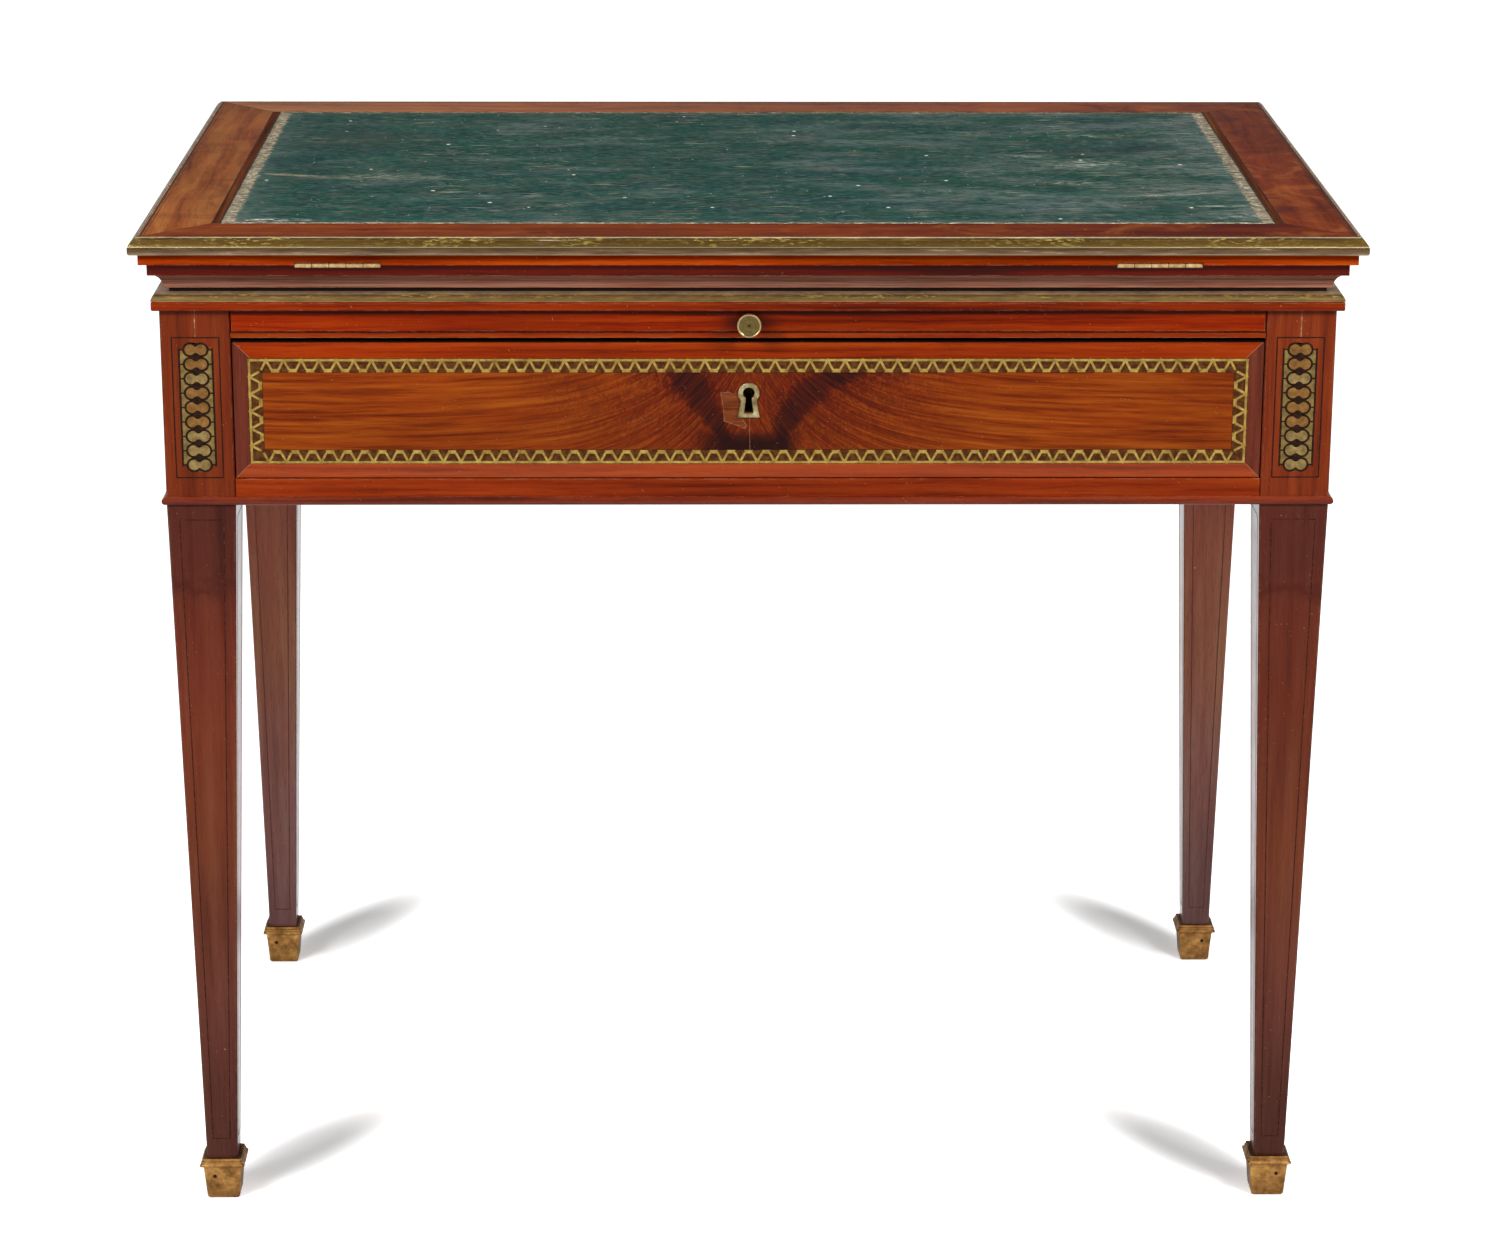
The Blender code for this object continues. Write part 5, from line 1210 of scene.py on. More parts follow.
# the bands at the leather's ends: waxed and not polished, so nearly black and without a gloss
END_BAND_WOOD = PolishedMahogany(
    "waxed_end_band_mahogany", "34150A", "602C12", "84471F", Axis.Y, streak_mm=3.0, gloss=0.1,
    reflection=0.0, arris_wear_and_highlight=0.0,
)
# cast brass feet: brown in the hollows, with broad soft rubs
FOOT_BRASS = TarnishedBrass(
    "cast_sabot_brass", "5E4220", "94693A", "BE9150", rubbed_mm=11.0, balance=0.47, roughness=0.4,
)
# rolled brass of the zigzag, level with the polish over it: yellow and almost even
INLAY_BRASS = TarnishedBrass(
    "rolled_inlay_brass", "86692C", "B49348", "CEB25E", rubbed_mm=5.0, roughness=0.5, dents=0.1,
    bare=0.35,
)
# rolled brass of the guilloche: brown-gold links, olive links and the olive ground between them
GOLD_LINK_BRASS, OLIVE_LINK_BRASS, FIELD_BRASS = (
    TarnishedBrass(name, *tones, rubbed_mm=rubbed_mm, roughness=0.42, dents=0.1, bare=0.5)
    for name, tones, rubbed_mm in (
        ("rolled_gold_link_brass", ("6C4A22", "8C6230", "A07C46"), 5.0),
        ("rolled_olive_link_brass", ("705A34", "927A48", "AA935E"), 5.0),
        ("rolled_field_brass", ("62502E", "866E3C", "9C864E"), 6.0),
    )
)
# cast brass of the keyhole plate and the crank's socket: pale, greyed and worn smooth
HARDWARE_BRASS = TarnishedBrass(
    "cast_plate_brass", "6C5E40", "988960", "CEC39E", rubbed_mm=6.0, roughness=0.3, dents=0.12,
    eased_mm=1.6,
)
# rolled brass of the hinges: rubbed pale by use
HINGE_BRASS = TarnishedBrass(
    "rolled_hinge_brass", "9E8050", "CCA874", "F0DAAC", rubbed_mm=4.0, roughness=0.4, dents=0.12,
    bare=0.5,
)
# brass of the lock, made nearly black as painted shade: seen only as the dark of the keyhole
KEYHOLE_SHADE_BRASS = TarnishedBrass(
    "lock_brass_in_painted_shade", "0C0A06", "1A150C", "3A3020", rubbed_mm=9.0, roughness=0.5,
)
# black-brown mastic, scraped level: the lines between brass and wood, with dirt and painted shade beside
# the board's brass rim and painted shade under the hinges' barrels
DARK_MASTIC_AND_SHADE = Mastic("dark_mastic_and_painted_shade", "1E100A", "38200F")
# the strings of the front and rear legs, faded with the wood round them
LEG_STRING = Mastic("scraped_leg_mastic", "34160E", "5E3022")
REAR_LEG_STRING = Mastic("scraped_rear_leg_mastic", "5C342A", "6E4036")
# pale filler, and the pale line along the board's brass rim: wood bared and waxed again, with a painted
# highlight on the rim line
PALE_FILLER_AND_HIGHLIGHT = Mastic("pale_filler_and_painted_highlight", "7E5236", "D0A888")
# the brown ground under the brass zigzag
BAND_GROUND = Mastic("scraped_band_mastic", "46260F", "6C4220")
# hide glue in the joint round the repair: a pale thin line
REPAIR_GLUE = Mastic("scraped_hide_glue", "7C4630", "A8785C")
# painted shade in the joint under the slide: nearly black, flecked with red
GAP_SHADE = Mastic("painted_gap_shade", "240A04", "5C1E0A")
# oak made nearly black as painted shade: the panel that is seen only in the gap under the raised top
GAP_SHADE_OAK = WaxedOak("oak_in_painted_shade", Axis.X, "180C06", "2E180C")
# sawn and waxed oak, by the way that its grain runs
OAK_X, OAK_Y, OAK_Z = (
    WaxedOak(f"waxed_oak_{way}", axis) for way, axis in zip(("along", "across", "upright"), Axis)
)
# filed and oiled steel of the lifting gear and the bolt
STEEL = FiledSteel("filed_steel")
# matt white paper under the table
FLOOR_PAPER = PaperFloor("matt_floor_paper")


def dress(finish: Finish, *names: str) -> None:
    """Give CAD pieces their finish.

    Args:
        finish: what they are finished in.
        names: the nodes' names.
    """
    for name in names:
        node = NODES[name]
        node.data.materials.clear()
        node.data.materials.append(finish.material())
        LOG.info("dressed %s in %s", name, finish.name)


def new_piece(
    name: str, mesh: bmesh.types.BMesh, finish: Finish, body: str, smooth: bool = False
) -> bpy.types.Object:
    """Make a mesh into a piece that rides on a body.

    Args:
        name: the piece's name.
        mesh: its shape, in the table's own coordinates.
        finish: what it is finished in.
        body: the body that carries it.
        smooth: whether its gentle bends are shaded smooth.

    Returns:
        The new object.
    """
    bmesh.ops.recalc_face_normals(mesh, faces=mesh.faces)
    for face in mesh.faces:
        face.smooth = face.smooth or smooth
    data = bpy.data.meshes.new(name)
    mesh.to_mesh(data)
    mesh.free()
    if smooth:
        data.set_sharp_from_angle(angle=math.radians(32.0))
    data.materials.append(finish.material())
    piece = bpy.data.objects.new(name, data)
    bpy.context.scene.collection.objects.link(piece)
    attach(piece, body)
    LOG.info("built %s on %s", name, body)
    return piece


def stroke(points: Outline, width: float) -> Outline:
    """The outline of a line of even width with mitred bends.

    Args:
        points: the line's bends.
        width: how wide it is.

    Returns:
        The closed outline.
    """
    sharpest = 0.35
    left, right = [], []
    for index, point in enumerate(points):
        near = Vector(point) - Vector(points[max(index - 1, 0)])
        far = Vector(points[min(index + 1, len(points) - 1)]) - Vector(point)
        near = (near if near.length else far).normalized()
        far = (far if far.length else near).normalized()
        across = Vector((-(near.y + far.y), near.x + far.x)).normalized()
        reach = width / 2 / max(sharpest, across.dot(Vector((-near.y, near.x))))
        left.append((point[0] + across.x * reach, point[1] + across.y * reach))
        right.append((point[0] - across.x * reach, point[1] - across.y * reach))
    return left + right[::-1]


def rectangle(left: float, foot: float, right: float, top: float) -> Outline:
    """The four corners of a rectangle, in order round it."""
    return ((left, foot), (right, foot), (right, top), (left, top))


def ring(centre: Point, radius: float, steps: int) -> Outline:
    """A round outline.

    Args:
        centre: its middle.
        radius: its radius.
        steps: how many corners it has.

    Returns:
        The closed outline.
    """
    turns = [2 * math.pi * step / steps for step in range(steps)]
    return [(centre[0] + radius * math.cos(turn), centre[1] + radius * math.sin(turn)) for turn in turns]


def in_front(face: float) -> Place:
    """Places on an upright face that looks forward at one depth: across, up and outward."""
    return lambda u, v, out: Vector((u, face - out, v))


@dataclass
class Inlay:
    """Thin plates let into a face, gathered until they become one piece.

    Place turns across, up and outward into a place, proud is how far a plate stands out, and
    depth is how deep it is let in, which is as far as it stands out if nothing is said.
    """

    place: Place
    proud: float
    depth: float = 0.0
    mesh: bmesh.types.BMesh = field(default_factory=bmesh.new)

    def plate(self, outline: Outline, rise: float = 1.0) -> None:
        """Add a plate of any outline.

        Args:
            outline: its corners in the face's plane.
            rise: how far it stands out, as a share of the inlay's own.
        """
        low = -(self.depth or self.proud)
        back = self.mesh.faces.new([self.mesh.verts.new(self.place(u, v, low)) for u, v in outline])
        lifted = bmesh.ops.extrude_face_region(self.mesh, geom=[back])["geom"]
        front = next(item for item in lifted if isinstance(item, bmesh.types.BMFace))
        for corner, (u, v) in zip(front.verts, outline):
            corner.co = self.place(u, v, self.proud * rise)

    def line(self, points: Outline, width: float, rise: float = 1.0) -> None:
        """Add a line of even width."""
        self.plate(stroke(points, width), rise)

    def loop(self, corners: Outline, width: float, rise: float = 1.0) -> None:
        """Add a closed line of even width, one plate for each side.

        Args:
            corners: its corners in order.
            width: how wide it is.
            rise: how far it stands out, as a share of the inlay's own.
        """
        for ends in zip(corners, corners[1:] + corners[:1]):
            self.line(ends, width, rise)

    def piece(self, name: str, finish: Finish, body: str, slot: str) -> bpy.types.Object:
        """Make the plates into one piece that rides on a body."""
        return new_piece(name, self.mesh, finish, body)


@dataclass
class DrawerFront:
    """The drawer's face: flame veneer, zigzag brass inlay and keyhole plate."""

    line_width: float = 0.0019
    bar_width: float = 0.0018
    foot_width: float = 0.0064
    foot_height: float = 0.0028
    foot_taper: float = 0.0006
    pitch: float = 0.0133
    proud: float = 0.00015
    peak_rise: float = 0.8
    foot_rise: float = 0.9
    repair_mm: Outline = (
        (-18.6, -30.2), (-19.6, -17.9), (-21.6, -7.8), (-14.8, -7.3), (-12.0, -8.9), (-6.5, -7.3),
        (-5.0, -28.1), (-1.4, -33.9), (-3.5, -36.1), (-10.5, -32.9),
    )
    repair_joint_mm: float = 0.45
    seam_mm: float = 0.4
    # how far right of the middle the open seam runs at its top, half-way down and at its foot
    seam_bends_mm: Triple = (0.9, 0.7, 1.0)

    def build(self) -> None:
        """Dress the drawer and lay the zigzag over the band's dark ground."""
        low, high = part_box("drawer_inlay_band")
        front_low, front_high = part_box("drawer_front")
        width = self.band_width()
        # flame mahogany, French-polished: orange, with near-black plumes above the keyhole
        dress(FlameVeneer(
            "polished_flame_mahogany", "5C1D06", "983C0A", "B45A16", streak_mm=3.2,
            streak_length_mm=120.0, mottle=0.16, arris_wear_and_highlight=0.0, half_width=high.x - width,
            low=low.z + width, high=high.z - width, outer_half_width=front_high.x,
            outer_low=front_low.z, outer_high=front_high.z,
        ), "drawer_front")
        dress(BAND_GROUND, "drawer_inlay_band")
        dress(HARDWARE_BRASS, "escutcheon")
        dress(KEYHOLE_SHADE_BRASS, "lock_case")
        dress(STEEL, "lock_bolt")
        dress(OAK_Y, "drawer_side_left", "drawer_side_right")
        dress(OAK_X, "drawer_back", "drawer_bottom")
        self.build_zigzag(low, high, width)
        self.build_repair(low.z + width)

    def band_width(self) -> float:
        """The inlay band's width, read from its mesh."""
        tops = sorted({round(v.co.z, 5) for v in NODES["drawer_inlay_band"].data.vertices})
        return tops[-1] - tops[-2]

    def build_repair(self, foot: float) -> None:
        """Let in the small veneer repair left of the keyhole, and draw the open seam below it.

        Args:
            foot: the height of the panel's lower edge.
        """
        plate_low, plate_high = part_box("escutcheon")
        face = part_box("drawer_front")[0].y
        middle = (plate_low.x + plate_high.x) / 2

        def place(u: float, v: float, out: float) -> Vector:
            """A place on the panel, measured in millimetres from the keyhole plate's top."""
            return Vector((middle + u * MM, face - out, plate_high.z + v * MM))

        patch, lines = Inlay(place, self.proud), Inlay(place, self.proud)
        patch.plate(self.repair_mm, 0.25)
        lines.line(self.repair_mm[5:] + self.repair_mm[:4], self.repair_joint_mm, 0.5)
        top, end = (plate_low.z - plate_high.z) / MM, (foot - plate_high.z) / MM
        seam = tuple(zip(self.seam_bends_mm, (top, (top + end) / 2, end)))
        lines.line(seam, self.seam_mm, 0.5)
        patch.piece("veneer_repair", REPAIR_WOOD, "drawer", "drawer_wood")
        lines.piece("repair_joint", REPAIR_GLUE, "drawer", "drawer_wood")

    def build_zigzag(self, low: Vector, high: Vector, width: float) -> None:
        """Lay the outer brass line and the zigzag with its flat feet.

        Args:
            low: the band's lowest corner.
            high: the band's highest corner.
            width: how wide the band is.
        """
        inlay = Inlay(in_front(low.y), self.proud)
        line = self.line_width
        outer = rectangle(low.x, high.z, high.x, low.z)
        inner = rectangle(low.x + line, high.z - line, high.x - line, low.z + line)
        for near, far in ((0, 1), (1, 2), (2, 3), (3, 0)):
            inlay.plate((outer[near], outer[far], inner[far], inner[near]))
        end, foot, top = high.x - width, low.z + width, high.z - width
        for (x, z), (along_x, along_z), length in (
            ((-end, top), (1, 0), 2 * end), ((end, top), (0, -1), top - foot),
            ((end, foot), (-1, 0), 2 * end), ((-end, foot), (0, 1), top - foot),
        ):
            for bend in self.zigzag(length, width):
                outline = [(x + along_x * u - along_z * v, z + along_z * u + along_x * v) for u, v in bend]
                inlay.plate(outline, self.foot_rise if len(bend) == 4 else self.peak_rise)
        inlay.piece("zigzag_inlay", INLAY_BRASS, "drawer", "inlay_brass")

    def zigzag(self, length: float, width: float) -> list[Outline]:
        """The zigzag's outlines along one side, from one inner corner to the next.

        Args:
            length: the side's inner length.
            width: the band's width.

        Returns:
            One outline for each peak and one for each foot.
        """
        count = round((length + self.foot_width) / self.pitch)
        pitch = (length + self.foot_width) / count
        peak_height = width - self.line_width / 2
        knee = self.foot_height - self.bar_width / 2
        taper = self.foot_taper
        outlines = []
        for index in range(count):
            first = index * pitch
            last = first + pitch - self.foot_width
            peak = ((first - taper, knee), ((first + last) / 2, peak_height), (last + taper, knee))
            outlines.append(stroke(peak, self.bar_width))
            if index < count - 1:
                end = last + self.foot_width
                outlines.append([(last, 0.0), (end, 0.0), (end - taper, self.foot_height),
                                 (last + taper, self.foot_height)])
        return outlines


@dataclass
class PostInlays:
    """The guilloche plates in the two front posts, with their dark stringing."""

    link_half_width: float = 0.00885
    link_waist: float = 0.0026
    link_steps: int = 40
    outline_width: float = 0.0012
    dot_radius: float = 0.0033
    dot_steps: int = 20
    string_width: float = 0.0010
    joint_width: float = 0.0007
    string_half_width: float = 0.0179
    string_drop: float = 0.0213
    string_foot: float = 0.0216
    proud: float = 0.00012
    gold_links: tuple[int, ...] = (0, 1, 3, 4, 5)
    link_count: int = 9
    # the part of a pitch between the plate's end and the middle of its last link
    end_share: float = 0.4

    def build(self) -> None:
        """Build both plates."""
        for side in SIDES:
            dress(FIELD_BRASS, f"post_inlay_{side}")
            self.build_links(side)
            self.build_strings(side)

    def link(self, centre: Point, grown: float) -> Outline:
        """One link: two round lobes with a waist between them.

        Args:
            centre: the link's middle.
            grown: how much wider than the link the outline is.

        Returns:
            The closed outline.
        """
        points = []
        for step in range(self.link_steps):
            angle = 2 * math.pi * step / self.link_steps
            radius = math.hypot(self.link_half_width * math.cos(angle), self.link_waist * math.sin(angle))
            points.append(Vector((radius * math.cos(angle), radius * math.sin(angle))))
        outline = []
        for index, point in enumerate(points):
            run = points[(index + 1) % self.link_steps] - points[index - 1]
            out = Vector((run.y, -run.x)).normalized() * grown
            outline.append((centre[0] + point.x + out.x, centre[1] + point.y + out.y))
        return outline

    def build_links(self, side: str) -> None:
        """Lay the links, their dark outlines and the dots between them.

        Args:
            side: left or right.
        """
        low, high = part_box(f"post_inlay_{side}")
        middle, half = (low.x + high.x) / 2, (high.x - low.x) / 2
        pitch = (high.z - low.z) / (self.link_count - 1 + 2 * self.end_share)
        levels = [high.z - self.end_share * pitch - pitch * index for index in range(self.link_count)]
        width = self.outline_width
        dark, gold, olive = (Inlay(in_front(low.y), self.proud) for _ in range(3))
        for index, level in enumerate(levels):
            dark.plate(self.link((middle, level), width), 0.5)
            metal = gold if index in self.gold_links else olive
            metal.plate(self.link((middle, level), -width * 0.4))
            for hand in (-1, 1):
                ends = (middle + hand * self.link_half_width, level), (middle + hand * half, level)
                dark.line(ends, width, 0.4)
        for upper, lower in zip(levels, levels[1:]):
            dark.plate(ring((middle, (upper + lower) / 2), self.dot_radius, self.dot_steps), 1.2)
        for edge in (middle - half, middle + half):
            dark.line(((edge, levels[0] + width), (edge, levels[-1] - width)), width * 1.3, 0.6)
        dark.piece(f"guilloche_lines_{side}", DARK_MASTIC_AND_SHADE, "case", "inlay_brass")
        gold.piece(f"guilloche_gold_links_{side}", GOLD_LINK_BRASS, "case", "inlay_brass")
        olive.piece(f"guilloche_olive_links_{side}", OLIVE_LINK_BRASS, "case", "inlay_brass")

    def build_strings(self, side: str) -> None:
        """Lay the dark string rectangle round the plate and the short line above it.

        Args:
            side: left or right.
        """
        post_low, post_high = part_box(f"leg_front_{side}")
        plate_low, plate_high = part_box(f"post_inlay_{side}")
        middle, half = (plate_low.x + plate_high.x) / 2, self.string_half_width
        top, foot = post_high.z - self.string_drop, KNEE + self.string_foot
        string, joint = (Inlay(in_front(post_low.y), self.proud) for _ in range(2))
        string.loop(rectangle(middle - half, top, middle + half, foot), self.string_width, 0.5)
        joint.line(((middle, top), (middle, post_high.z)), self.joint_width, 0.5)
        string.piece(f"post_string_{side}", DARK_MASTIC_AND_SHADE, "case", "leg_wood")
        joint.piece(f"post_joint_{side}", PALE_FILLER_AND_HIGHLIGHT, "case", "leg_wood")


@dataclass
class Legs:
    """The four posts and legs, with stringing let into every face."""

    string_inset: float = 0.0088
    # how much of the inset goes towards the foot
    inset_taper: float = 0.38
    string_width: float = 0.0008
    top_gap: float = 0.0125
    foot_gap: float = 0.0165
    proud: float = 0.0001
    nail_radius: float = 0.0015
    nail_steps: int = 16
    nail_height_share: float = 0.565
    nail_side_share: float = 0.35
    nail_depth_share: float = 0.815
    corner_reach: float = 0.0006

    def build(self) -> None:
        """Dress the legs and their feet and lay the strings."""
        rows = (("front", LEG_WOOD, LEG_STRING), ("rear", REAR_LEG_WOOD, REAR_LEG_STRING))
        for row, wood, string in rows:
            for side in SIDES:
                dress(wood, f"leg_{row}_{side}")
                dress(FOOT_BRASS, f"sabot_{row}_{side}")
                self.build_strings(f"leg_{row}_{side}", f"sabot_{row}_{side}", string)
                self.build_nail(f"sabot_{row}_{side}")

    def build_nail(self, name: str) -> None:
        """Set the sunk, blackened nail that holds a foot to its leg.

        Args:
            name: the foot's node.
        """
        low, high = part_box(name)
        middle, side = (low + high) / 2, (high.x - low.x) / 2
        hand = -1 if middle.x < 0 else 1
        centre = (middle.x + hand * side * self.nail_side_share,
                  low.z + (high.z - low.z) * self.nail_height_share)
        nail = Inlay(in_front(middle.y - side * self.nail_depth_share), self.proud, self.nail_radius)
        nail.plate(ring(centre, self.nail_radius, self.nail_steps))
        nail.piece(f"{name}_nail", DARK_MASTIC_AND_SHADE, "case", "foot_brass")

    def section(self, name: str, height: float) -> tuple[float, ...]:
        """The leg's sides at one of its measured heights.

        Args:
            name: the leg's node.
            height: a height at which its mesh has corners.

        Returns:
            Lowest and highest x, lowest and highest y.
        """
        near = [v.co for v in NODES[name].data.vertices if abs(v.co.z - height) < self.corner_reach]
        return tuple(pick(p[axis] for p in near) for axis in (0, 1) for pick in (min, max))

    def build_strings(self, name: str, foot_name: str, finish: Finish) -> None:
        """Lay a long narrow rectangle of string on each of a leg's faces.

        Args:
            name: the leg's node.
            foot_name: its brass foot's node.
            finish: what the string is made of.
        """
        tip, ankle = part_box(name)[0].z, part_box(foot_name)[1].z
        upper, end = self.section(name, KNEE), self.section(name, tip)
        share = (KNEE - ankle) / (KNEE - tip)
        lower = tuple(top + (foot - top) * share for top, foot in zip(upper, end))
        mesh = bmesh.new()
        for across in (0, 1):
            for sign in (-1, 1):
                self.string_face(mesh, across, sign, ankle, (upper, lower))
        new_piece(f"{name}_string", mesh, finish, "case")

    def string_face(
        self, mesh: bmesh.types.BMesh, across: int, sign: int, ankle: float,
        sections: tuple[tuple[float, ...], tuple[float, ...]],
    ) -> None:
        """Lay the string on one face.

        Args:
            mesh: the mesh that takes it.
            across: zero for a face seen from the front or back, one for a side.
            sign: which of the two faces.
            ankle: the height of the taper's foot.
            sections: the leg's sides at the knee and at the ankle.
        """
        def place(u: float, v: float, out: float) -> Vector:
            """A place on the face.

            Args:
                u: how far along from its low edge, or from its high edge if below zero.
                v: the height.
                out: how far it stands out.

            Returns:
                The place.
            """
            share = (KNEE - v) / (KNEE - ankle)
            sides = [top + (foot - top) * share for top, foot in zip(*sections)]
            along = sides[across * 2] + u if u >= 0 else sides[across * 2 + 1] + u
            face = sides[(1 - across) * 2 + (sign > 0)] + sign * out
            return Vector((face, along, v)) if across else Vector((along, face, v))

        inlay = Inlay(place, self.proud, mesh=mesh)
        top, foot = KNEE - self.top_gap, ankle + self.foot_gap
        inset, width = self.string_inset, self.string_width
        inset_foot = inset * (1 - (top - foot) / (KNEE - ankle) * self.inset_taper)
        for hand in (1, -1):
            inlay.plate(((hand * inset, top), (hand * (inset + width), top),
                         (hand * (inset_foot + width), foot), (hand * inset_foot, foot)))
        for level, start in ((top, inset), (foot, inset_foot)):
            inlay.plate(rectangle(start, level, -start, level + width))


@dataclass
class CaseBody:
    """The fixed case round the drawer, with the lifting gear inside it."""

    # the rim's tones by height, with pale painted highlights along its lower and upper edges
    rim_facet_light_and_shade: Stops = (
        (0.0, "C09A78"), (0.10, "866A3A"), (0.5, "907240"), (0.85, "765C32"), (0.95, "BC9A7C"),
    )

    def build(self) -> None:
        """Dress the case."""
        dress(CASE_WOOD, "lower_rail", "back_panel", "dust_board", "case_top_board")
        dress(SIDE_WOOD, "side_panel_left", "side_panel_right")
        dress(MOULDING_WOOD, "base_bead")
        low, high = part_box("case_brass_rim")
        # drawn brass of the case's rim: brown-olive between two painted highlights along its edges
        dress(MouldedBrass(
            "drawn_rim_brass", bright="D0B47C", rubbed_mm=2.2, drawn_mm=22.0, bare=0.5, low=low.z,
            high=high.z, facet_light_and_shade=self.rim_facet_light_and_shade,
        ), "case_brass_rim")
        dress(OAK_X, "bottom_board")
        dress(OAK_Y, "divider_left", "divider_right")
        dress(OAK_Z, "rack_guide_left", "rack_guide_right")
        dress(HARDWARE_BRASS, "crank_bush")
        dress(STEEL, "arbor", "pinion_left", "pinion_right", "ratchet_wheel", "pawl", "pawl_screw",
              "rack_left", "rack_right")


@dataclass
class WritingSlide:
    """The writing slide above the drawer, with its knob.

    The knob's profile is given as shares: out from its axis, and forward from the slide.
    """

    knob_steps: int = 64
    knob_shares: Outline = (
        (0.0, 0.945), (0.05, 0.945), (0.09, 0.962), (0.44, 0.962), (0.46, 0.955), (0.49, 0.955),
        (0.51, 0.962), (0.82, 0.965), (0.86, 0.990), (0.90, 1.0), (0.96, 0.995), (1.0, 0.965),
        (1.0, 0.86), (0.94, 0.82), (0.78, 0.60), (0.52, 0.42), (0.47, 0.22), (0.56, 0.08),
        (0.64, 0.0), (0.41, -0.01), (0.41, -0.66), (0.0, -0.66),
    )
    gap_shade_height: float = 0.0009
    proud: float = 0.0001

    def build(self) -> None:
        """Dress the slide, turn its knob and lay the painted shade in the joint under it."""
        low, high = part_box("slide_knob")
        centre, radius = (low + high) / 2, (high.x - low.x) / 2
        # French-polished mahogany of the slide: the reddest wood, with a painted shadow beside the knob
        dress(SlideVeneer(
            "polished_slide_mahogany", "460C02", "A42C02", "C2480A", mottle=0.36, streak_mm=5.0,
            knob_x=centre.x, knob_z=centre.z, top=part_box("writing_slide")[1].z,
        ), "writing_slide")
        self.build_knob(centre, radius, low.y)
        low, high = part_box("dust_board")
        joint = Inlay(in_front(low.y), self.proud)
        # painted shade in the joint under the slide
        joint.plate(rectangle(low.x, high.z - self.gap_shade_height, high.x, high.z))
        joint.piece("slide_gap_shade", GAP_SHADE, "case", "case_wood")

    def build_knob(self, centre: Vector, radius: float, tip: float) -> None:
        """Turn the knob with its dished face, raised rim and the lathe's centre mark.

        Args:
            centre: the middle of the CAD knob.
            radius: the knob's radius.
            tip: how far forward it reaches.
        """
        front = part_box("writing_slide")[0].y
        reach = front - tip
        mesh = bmesh.new()
        path = [mesh.verts.new(Vector((centre.x + across * radius, front - out * reach, centre.z)))
                for across, out in self.knob_shares]
        edges = [mesh.edges.new(pair) for pair in zip(path, path[1:])]
        bmesh.ops.spin(
            mesh, geom=path + edges, cent=(centre.x, 0.0, centre.z), axis=(0.0, 1.0, 0.0),
            angle=2 * math.pi, steps=self.knob_steps, use_merge=True,
        )
        bmesh.ops.remove_doubles(mesh, verts=mesh.verts, dist=MM / 1000)
        # turned brass: a pale rim with a painted highlight, round a dark dished face
        brass = TurnedBrass(
            "turned_knob_brass", roughness=0.34, dents=0.12, rubbed_mm=5.0, centre_x=centre.x,
            centre_z=centre.z, radius=radius,
        )
        knob = new_piece("turned_knob", mesh, brass, "slide", smooth=True)
        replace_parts(knob, "slide_knob")


@dataclass
class RisingFrame:
    """The moulded frame that rises, its hinges and what carries the board."""

    # where the fillet starts, as a share of the frame's height
    fillet_share: float = 0.58
    knuckle_count: int = 5
    knuckle_gap: float = 0.0006
    # from where to where the lines run round the barrel, in radians from the front
    joint_arc: Point = (-1.2, 1.2)
    # the last arc is a line of painted shade under the barrel
    under_barrel_shade_arc: Point = (-1.25, -1.05)
    arc_steps: int = 8
    proud: float = 0.00006

    def build(self) -> None:
        """Dress the frame."""
        low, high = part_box("frame_moulding")
        # French-polished mahogany of the frame: dark above with painted shade, the hollow clouded with a
        # painted pale reflection
        dress(FrameVeneer(
            "polished_frame_mahogany", "4A1A0E", "8A3A20", "A4502E", mottle=0.25, streak_mm=5.0,
            reflection=0.08, step=low.z + self.fillet_share * (high.z - low.z),
        ), "frame_moulding")
        dress(GAP_SHADE_OAK, "frame_panel")
        dress(OAK_Y, "notched_rail_left", "notched_rail_right")
        dress(OAK_X, "easel_prop", "prop_bracket_left", "prop_bracket_right")
        dress(HINGE_BRASS, *(f"hinge_{leaf}_{side}" for leaf in ("lower", "upper") for side in SIDES))
        for side in SIDES:
            self.build_knuckles(side)

    def build_knuckles(self, side: str) -> None:
        """Draw the joints between a hinge's knuckles, and a line of painted shade under its barrel.

        Args:
            side: left or right.
        """
        low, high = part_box(f"hinge_lower_{side}")
        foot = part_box(f"hinge_upper_{side}")[0].z
        radius = (high.z - foot) / 2
        pin_y, pin_z = low.y + radius, (high.z + foot) / 2

        def place(u: float, v: float, out: float) -> Vector:
            """A place on the barrel: across it, and round it in radians from the front."""
            reach = radius + out
            return Vector((u, pin_y - reach * math.cos(v), pin_z + reach * math.sin(v)))

        half, width = self.knuckle_gap / 2, (high.x - low.x) / self.knuckle_count
        joints = [low.x + width * index for index in range(1, self.knuckle_count)]
        bands = [(joint - half, joint + half, self.joint_arc) for joint in joints]
        lines = Inlay(place, self.proud)
        for left, right, (first, last) in (*bands, (low.x, high.x, self.under_barrel_shade_arc)):
            step = (last - first) / self.arc_steps
            for index in range(self.arc_steps):
                here = first + step * index
                lines.plate(rectangle(left, here, right, here + step))
        lines.piece(f"hinge_joints_and_shade_{side}", DARK_MASTIC_AND_SHADE, "top_frame", "hardware_brass")


